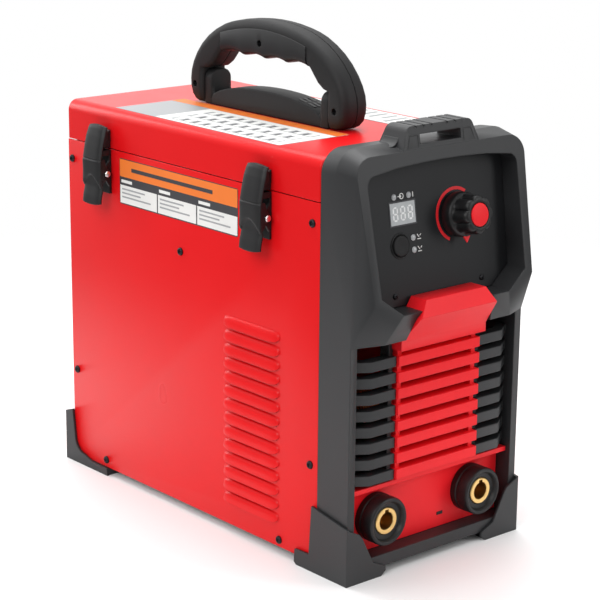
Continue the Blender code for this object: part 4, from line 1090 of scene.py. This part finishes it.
# ---------------------------------------------------------------- front
class FrontMoulding(bpy.types.Operator):
    """Hood, lower frame and slats, with the coloured trim and the socket plate"""

    bl_idname = "welder.front_moulding"
    bl_label = "Front moulding"

    def execute(self, context):
        refined("front_bezel", "case", "charcoal", self.grab_cuts())
        fixed(joined("hood_sweeps", self.sweeps()), "case")
        refined("front_trim", "case", "trim")
        refined("socket_plate", "case", "trim")
        slot = bare("plate_slot", box((0.0165, -0.0204, 0.0188), (0.0225, -0.0195, 0.0212)))
        fixed(slot, "case", "insulator")
        return {"FINISHED"}

    def sweeps(self):
        """Hollow fillets where the grab bar's flanks run into the hood."""
        made = []
        hood = TOP + 0.0062
        for turn in (-1, 1):
            foot = [(0.0300, hood - 0.004), (0.0300, hood + 0.006), (0.0345, hood + 0.0056)]
            foot += arc((0.0426, hood + 0.0082), 0.0082, 198, 270, 8) + [(0.0440, hood - 0.004)]
            foot = [(turn * x, z) for x, z in foot]
            sweep = bare("sweep", prism(foot, "Y", FACE_0 + LEAN * hood + 0.0075, -0.0075))
            sweep.data.materials.append(material("charcoal"))
            made.append(sweep)
        return made

    def grab_cuts(self):
        """Grooves over the grab bar, and the outlines pressed in beside its window."""
        top = TOP + 0.0200
        front = FACE_0 + LEAN * top
        cuts = []
        for x in (-0.0236, -0.0156, -0.0077, 0.0077, 0.0156, 0.0236):
            side = [(front - 0.002, top + 0.002), (front - 0.002, top - 0.0016), (0.002, top - 0.0016),
                    (0.002, top + 0.002)]
            cuts.append(bare("groove", prism(side, "X", x - 0.0009, x + 0.0009)))
        for turn in (-1, 1):
            shoulder = [(0.02735, top + 0.002)] + arc((0.02735, top - 0.006), 0.006, 90, 22, 8)
            shoulder += [(0.0370, top - 0.0025), (0.0370, top + 0.002)]
            shoulder = [(turn * x, z) for x, z in shoulder]
            cuts.append(bare("shoulder", prism(shoulder, "Y", -0.06, 0.01)))
        for turn in (-1, 1):
            low, high = TOP + 0.0045, TOP + 0.0133
            outline = [(turn * x, z) for x, z in
                       ((0.0222, low), (0.0222, high), (0.0305, high), (0.0340, low))]
            inner = [(turn * x, z) for x, z in
                     ((0.0229, low - 0.001), (0.0229, high - 0.0007), (0.0300, high - 0.0007),
                      (0.0331, low - 0.001))]
            face = FACE_0 + LEAN * (low + high) / 2
            frame_cut = bare("outline", prism(outline, "Y", face - 0.006, face + 0.006))
            core = bare("core", prism(inner, "Y", face - 0.010, face + 0.010))
            combined(frame_cut, [core])
            cap = bare("cap", box((-0.05, -0.08, low - 0.01), (0.05, 0.0, high + 0.01)))
            bm = bmesh.new()
            bm.from_mesh(cap.data)
            bmesh.ops.transform(bm, matrix=CASE.inverted(), verts=bm.verts)
            for v in bm.verts:
                if v.co.y > -0.001:
                    v.co.y = FACE_0 + LEAN * v.co.z + 0.0006
                else:
                    v.co.y = FACE_0 + LEAN * v.co.z - 0.008
            bmesh.ops.transform(bm, matrix=CASE, verts=bm.verts)
            bm.to_mesh(cap.data)
            bm.free()
            cuts.append(combined(frame_cut, [cap], "INTERSECT"))
        return cuts


class Feet(bpy.types.Operator):
    """Corner guards"""

    bl_idname = "welder.feet"
    bl_label = "Feet"

    def execute(self, context):
        for end in ("front", "rear"):
            for side in ("left", "right"):
                refined(f"{end}_{side}_foot", "case", "charcoal")
        return {"FINISHED"}


class Sockets(bpy.types.Operator):
    """Bayonet cable sockets"""

    bl_idname = "welder.sockets"
    bl_label = "Sockets"

    def execute(self, context):
        for prefix, x in (("negative", -0.0487), ("positive", 0.0487)):
            z = 0.0347
            front = -0.0370
            collar = [(0.0106, front + 0.0036), (0.0140, front + 0.0034), (0.0148, front + 0.0010),
                      (0.0156, front + 0.0002), (0.0168, front), (0.0178, front + 0.0006),
                      (0.0184, front + 0.0022),
                      (0.0184, front + 0.0095), (0.0178, front + 0.0102), (0.0178, front + 0.0112),
                      (0.0184, front + 0.0120), (0.0184, -0.0203), (0.0139, -0.0203), (0.0139, -0.0040),
                      (0.0106, -0.0040)]
            body = bare(prefix + "_socket_collar", lathe(collar, "Y", (x, 0, z), 96))
            fixed(body, "case", "insulator", [prefix + "_socket_body"])
            start = front + 0.0026
            contact = [(0.0066, start + 0.0005), (0.0071, start), (0.0097, start), (0.0103, start + 0.0006),
                       (0.0103, 0.0167), (0.0080, 0.0167), (0.0080, 0.0267), (0, 0.0267),
                       (0, start + 0.030), (0.0066, start + 0.030)]
            metal = bare(prefix + "_socket_insert", lathe(contact, "Y", (x, 0, z), 96))
            key = box((x - 0.0018, start - 0.002, z), (x + 0.0018, start + 0.024, z + 0.0088))
            combined(metal, [bare("key", key)])
            fixed(metal, "case", "brass", [prefix + "_socket_contact"])
        return {"FINISHED"}


# ---------------------------------------------------------------- controls
def on_panel(name, bm, weld=1e-6):
    return bare(name, bm, PANEL, weld)


def knob_section(radius, depth, lobes, phase=0.0, count=192):
    """Outline of a grip with rounded lobes and narrow grooves between them."""
    ring = []
    for i in range(count):
        a = math.tau * i / count
        r = radius - depth * (1 - abs(math.cos(lobes * (a + phase) / 2)) ** 0.55)
        ring.append((r * math.cos(a), r * math.sin(a)))
    return ring


def knob_mesh(lobes):
    """Plain skirt, then a lobed grip that is rounded at the front."""
    face = KNOB_FACE
    levels = [(-0.0008, 0.0150, 0.0), (-0.0013, 0.0161, 0.0), (-0.0022, 0.0165, 0.0), (-0.0092, 0.0164, 0.0),
              (-0.0102, 0.0160, 0.0), (-0.0108, 0.0151, 0.0), (-0.0112, 0.0146, 0.0004),
              (-0.0122, 0.0145, 0.0020),
              (-0.0180, 0.0144, 0.0026), (face + 0.0032, 0.0143, 0.0028), (face + 0.0016, 0.0139, 0.0027),
              (face + 0.0006, 0.0131, 0.0022), (face + 0.0001, 0.0120, 0.0014), (face, 0.0106, 0.0003),
              (face + 0.0002, 0.0092, 0.0), (face + 0.0013, 0.0089, 0.0)]
    rings = [[(px, y, pz) for px, pz in knob_section(r, d, lobes)] for y, r, d in levels]
    return loft(rings)


DIGIT = {"A": (0, 2, 1, 2), "B": (1, 1, 1, 2), "C": (1, 0, 1, 1), "D": (0, 0, 1, 0), "E": (0, 0, 0, 1),
         "F": (0, 1, 0, 2), "G": (0, 1, 1, 1)}


def digit(centre, width, height, thick, level):
    """Seven segments of one figure, as thin bars with pointed ends."""
    bm = bmesh.new()
    for x0, z0, x1, z1 in DIGIT.values():
        ax, az = centre[0] + (x0 - 0.5) * width, centre[1] + (z0 - 1) * height / 2
        bx, bz = centre[0] + (x1 - 0.5) * width, centre[1] + (z1 - 1) * height / 2
        d = Vector((bx - ax, bz - az)).normalized()
        n = Vector((-d.y, d.x)) * thick / 2
        a, b = Vector((ax, az)) + d * thick * 0.2, Vector((bx, bz)) - d * thick * 0.2
        cut = d * thick / 2
        outline = [a, a + cut + n, b - cut + n, b, b - cut - n, a + cut - n]
        prism([tuple(p) for p in outline], "Y", level - 0.0001, level, bm)
    return bm


def ring_band(radius, width, start, end, level, thick=0.0002, steps=72):
    """A flat arc on the panel, as one thin solid."""
    outer = arc((0, 0), radius + width / 2, start, end, steps)
    inner = arc((0, 0), radius - width / 2, end, start, steps)
    return prism(outer + inner, "Y", level - thick, level)


class Controls(bpy.types.Operator):
    """Control panel with its display, lamps, button, knob and printed marks"""

    bl_idname = "welder.controls"
    bl_label = "Controls"

    def execute(self, context):
        settings = context.scene.welder
        dressed("control_panel", "panel_film")
        dressed("control_board", "board")
        dressed("knob_encoder", "steel")
        dressed("display_module", "display")
        shift = Vector((KNOB_AT.x, 0.0022))
        display = Vector((-0.0298, 0.0100)) - shift
        parts = []
        for k in range(3):
            bm = digit((display.x + (k - 1) * 0.0072, display.y), 0.0038, 0.0092, 0.0013, -0.00035)
            parts.append(on_panel("digit", bm, 0))
        fixed(joined("display_figures", parts), "case", "segment")

        frame_outline = [(display.x - 0.0131, display.y - 0.0090), (display.x + 0.0131, display.y - 0.0090),
                         (display.x + 0.0131, display.y + 0.0090), (display.x - 0.0131, display.y + 0.0090)]
        rim = on_panel("display_rim", prism(frame_outline, "Y", -0.0003, 0.0002))
        window = on_panel("window", box((display.x - 0.0119, -0.01, display.y - 0.0078),
                                        (display.x + 0.0119, 0.01, display.y + 0.0078)))
        fixed(combined(rim, [window]), "case", "print_dark")

        lamps = {"led_input": (-0.0372, 0.0222), "led_output": (-0.0228, 0.0222),
                 "led_mode_upper": (-0.0216, -0.0086), "led_mode_lower": (-0.0215, -0.0174)}
        for node, (x, s) in lamps.items():
            x, s = x - shift.x, s - shift.y
            dome = [(0, 0.003), (0.0018, 0.003), (0.0018, -0.0001)]
            dome += [(0.0023, -0.0001), (0.0023, -0.0004)]
            dome += [(0.0021 * math.cos(a), -0.0004 - 0.0009 * math.sin(a)) for a in
                     [math.pi / 2 * k / 6 for k in range(1, 6)]] + [(0, -0.0013)]
            cover = on_panel(node + "_dome", lathe(dome, "Y", (x, 0, s), 32))
            fixed(cover, "case", "lamp", [node])

        bx, bs = -0.0348 - shift.x, -0.0128 - shift.y
        press = [(0, -0.0016), (0.0040, -0.0018), (0.0064, -0.0022), (0.0073, -0.0019), (0.0077, -0.0010),
                 (0.0077, 0.006), (0, 0.006)]
        fixed(on_panel("mode_button_cap", lathe(press, "Y", (bx, 0, bs), 64)), "button", "soft_black",
              ["mode_button"])
        lip = [(0.0081, 0.0001), (0.0081, -0.0005), (0.0084, -0.0008), (0.0090, -0.0006), (0.0093, 0.0001)]
        fixed(on_panel("button_surround", lathe(lip, "Y", (bx, 0, bs), 64)), "case", "insulator")

        knob = on_panel("knob_grip", knob_mesh(settings.knob_lobes))
        pointer = [(-0.0040, -0.0148), (0.0040, -0.0148), (0.0, -0.0208)]
        flag = on_panel("pointer", eased(prism(pointer, "Y", -0.0100, -0.0084), 0.0003, 1))
        knob.data.materials.append(material("insulator"))
        flag.data.materials.append(material("print_red"))
        fixed(joined("knob_skin", [knob, flag]), "knob", None, ["current_knob"])
        face = KNOB_FACE
        cap = [(0, face - 0.0008), (0.0070, face - 0.0008), (0.0079, face - 0.0006), (0.0085, face + 0.0001),
               (0.0085, face + 0.0009), (0, face + 0.0009)]
        disc = on_panel("knob_cap_disc", lathe(cap, "Y", (0, 0, 0), 64))
        fixed(disc, "knob", "trim", ["knob_cap"])

        fixed(on_panel("dial_arc", ring_band(0.0190, 0.0024, 55, 245, 0.0)), "case", "print_red")
        self.icons(shift)
        return {"FINISHED"}

    def icons(self, shift):
        """Small plain signs beside the lamps: strokes and rings only."""
        parts = []

        def stroke(ax, az, bx, bz, thick=0.0006):
            a, b = Vector((ax, az)) - shift, Vector((bx, bz)) - shift
            n = Vector((-(b - a).y, (b - a).x)).normalized() * thick / 2
            parts.append(on_panel("stroke", prism([tuple(a + n), tuple(b + n), tuple(b - n), tuple(a - n)],
                                                  "Y", -0.00012, 0.0), 0))

        def ring(cx, cz, radius):
            bm = ring_band(radius, 0.0006, 0, 359, 0.0, 0.00012, 28)
            bmesh.ops.translate(bm, vec=(cx - shift.x, 0, cz - shift.y), verts=bm.verts)
            parts.append(on_panel("ring", bm, 0))

        ring(-0.0298, 0.0222, 0.0019)
        stroke(-0.0335, 0.0222, -0.0305, 0.0222)
        stroke(-0.0312, 0.0232, -0.0300, 0.0222)
        stroke(-0.0312, 0.0212, -0.0300, 0.0222)
        stroke(-0.0186, 0.0240, -0.0186, 0.0204, 0.0007)
        for level in (-0.0086, -0.0174):
            stroke(-0.0176, level + 0.0020, -0.0158, level - 0.0004)
            stroke(-0.0176, level - 0.0016, -0.0140, level - 0.0016)
            stroke(-0.0150, level + 0.0006, -0.0138, level + 0.0018)
        for part in parts:
            part.data.materials.append(material("print_white"))
        fixed(joined("panel_signs", parts), "case")


# ---------------------------------------------------------------- rear and inside
class Rear(bpy.types.Operator):
    """Fan with its guard, power switch and cord gland"""

    bl_idname = "welder.rear"
    bl_label = "Rear fittings"

    def execute(self, context):
        dressed("fan_frame", "insulator")
        dressed("fan_rotor", "black")
        dressed("power_switch_housing", "insulator")
        dressed("power_switch_rocker", "black")
        dressed("cord_gland", "black")
        dressed("fan_guard", "wire")
        return {"FINISHED"}


class Inside(bpy.types.Operator):
    """Power electronics seen through the grille"""

    bl_idname = "welder.inside"
    bl_label = "Inside"

    def execute(self, context):
        for node, finish, slot in (("main_board", "board", "board_green"),
                                   ("heatsink", "aluminium", "aluminium"),
                                   ("transformer_core", "ferrite", "ferrite"),
                                   ("transformer_winding", "winding", "copper"),
                                   ("output_choke", "winding", "copper"),
                                   ("bus_capacitor_front", "sleeve", "sleeve"),
                                   ("bus_capacitor_rear", "sleeve", "sleeve"),
                                   ("negative_busbar", "copper", "copper"),
                                   ("positive_busbar", "copper", "copper")):
            dressed(node, finish)
        return {"FINISHED"}


# ---------------------------------------------------------------- stage
def lamp(name, place, aim, size, power):
    data = bpy.data.lights.new(name, "AREA")
    data.shape = "RECTANGLE"
    data.size, data.size_y = size
    data.energy = power
    obj = bpy.data.objects.new(name, data)
    bpy.context.scene.collection.objects.link(obj)
    obj.location = place
    obj.rotation_euler = (Vector(aim) - Vector(place)).to_track_quat("-Z", "Y").to_euler()


class Stage(bpy.types.Operator):
    """Pale floor, soft lights and the camera"""

    bl_idname = "welder.stage"
    bl_label = "Stage"

    def execute(self, context):
        bm = bmesh.new()
        bmesh.ops.create_grid(bm, x_segments=1, y_segments=1, size=6)
        floor = bare("floor", bm, Matrix.Identity(4))
        shader = Shader("floor_white")
        tone = shader.blend(shader.noise(shader.place(), 3), (0.90, 0.90, 0.90), (0.93, 0.93, 0.93))
        far = shader.add("ShaderNodeVectorMath", {"operation": "LENGTH"},
                         {0: shader.add("ShaderNodeTexCoord", output="Object")}, "Value")
        floor.data.materials.append(shader.finish(base_color=tone, roughness=0.7, specular_ior_level=0.2,
                                                  alpha=shader.span(far, 0.35, 0.95, 1.0, 0.0)))
        world = bpy.data.worlds.new("studio")
        context.scene.world = world
        world.use_nodes = True
        sky = Nodes(world.node_tree)
        height = sky.add("ShaderNodeSeparateXYZ", None, {"Vector": sky.add("ShaderNodeTexCoord")}, "Z")
        behind = sky.add("ShaderNodeVectorMath", {"operation": "DOT_PRODUCT"},
                         {0: sky.add("ShaderNodeTexCoord"), 1: (0.65, 0.76, 0.1)}, "Value")
        seen = sky.add("ShaderNodeLightPath")
        glow = height * 0.50 + 0.38 + behind.maths("MAXIMUM", behind, 0.0) ** 3.0 * 0.75
        strength = seen * 1.0 + (1.0 - seen) * glow
        ground = world.node_tree.nodes["Background"]
        sky.feed(ground.inputs["Color"], (1, 1, 1))
        sky.feed(ground.inputs["Strength"], strength)
        context.scene.view_settings.view_transform = "Standard"
        lamp("key", (-1.5, -0.5, 1.2), (0, 0, 0.18), (0.9, 0.9), 13)
        lamp("fill", (1.1, -1.7, 0.9), (0, 0, 0.15), (0.5, 1.1), 9)
        lamp("above", (0.2, 0.5, 1.9), (0, 0, 0.1), (1.5, 1.5), 26)
        lamp("strip", (-0.5, 1.6, 0.9), (0, 0, 0.2), (0.3, 1.2), 8)

        azimuth, elevation, roll = math.radians(-40.79), math.radians(15.36), math.radians(0.566)
        back = Vector((math.sin(azimuth) * math.cos(elevation), -math.cos(azimuth) * math.cos(elevation),
                       math.sin(elevation)))
        right = Vector((0, 0, 1)).cross(back).normalized()
        up = back.cross(right)
        turned = right * math.cos(roll) + up * math.sin(roll)
        upright = up * math.cos(roll) - right * math.sin(roll)
        data = bpy.data.cameras.new("camera")
        data.sensor_width = 36.0
        data.lens = 117.74
        camera = bpy.data.objects.new("camera", data)
        context.scene.collection.objects.link(camera)
        place = ORIGIN + Vector((-0.9702, -1.0032, 0.5679))
        matrix = Matrix((turned, upright, back)).transposed().to_4x4()
        matrix.translation = place
        camera.matrix_world = matrix
        context.scene.camera = camera
        return {"FINISHED"}


STEPS = (CasePanels, Screws, Labels, Latches, Handle, FrontMoulding, Feet, Sockets, Controls, Rear, Inside,
         Stage)


class WelderPanel(bpy.types.Panel):
    """Lists the welder's settings and the operators that build it"""

    bl_idname = "VIEW3D_PT_welder"
    bl_label = "Stick welding inverter"
    bl_space_type = "VIEW_3D"
    bl_region_type = "UI"
    bl_category = "Welder"

    def draw(self, context):
        for name in Settings.__annotations__:
            self.layout.prop(context.scene.welder, name)
        for step in STEPS:
            self.layout.operator(step.bl_idname)


def register():
    for each in (Settings, *STEPS, WelderPanel):
        bpy.utils.register_class(each)
    bpy.types.Scene.welder = PointerProperty(type=Settings)


def unregister():
    del bpy.types.Scene.welder
    for each in reversed((Settings, *STEPS, WelderPanel)):
        bpy.utils.unregister_class(each)


def main():
    register()
    for step in STEPS:
        getattr(bpy.ops.welder, step.bl_idname.split(".")[1])()


if __name__ == "__main__":
    main()
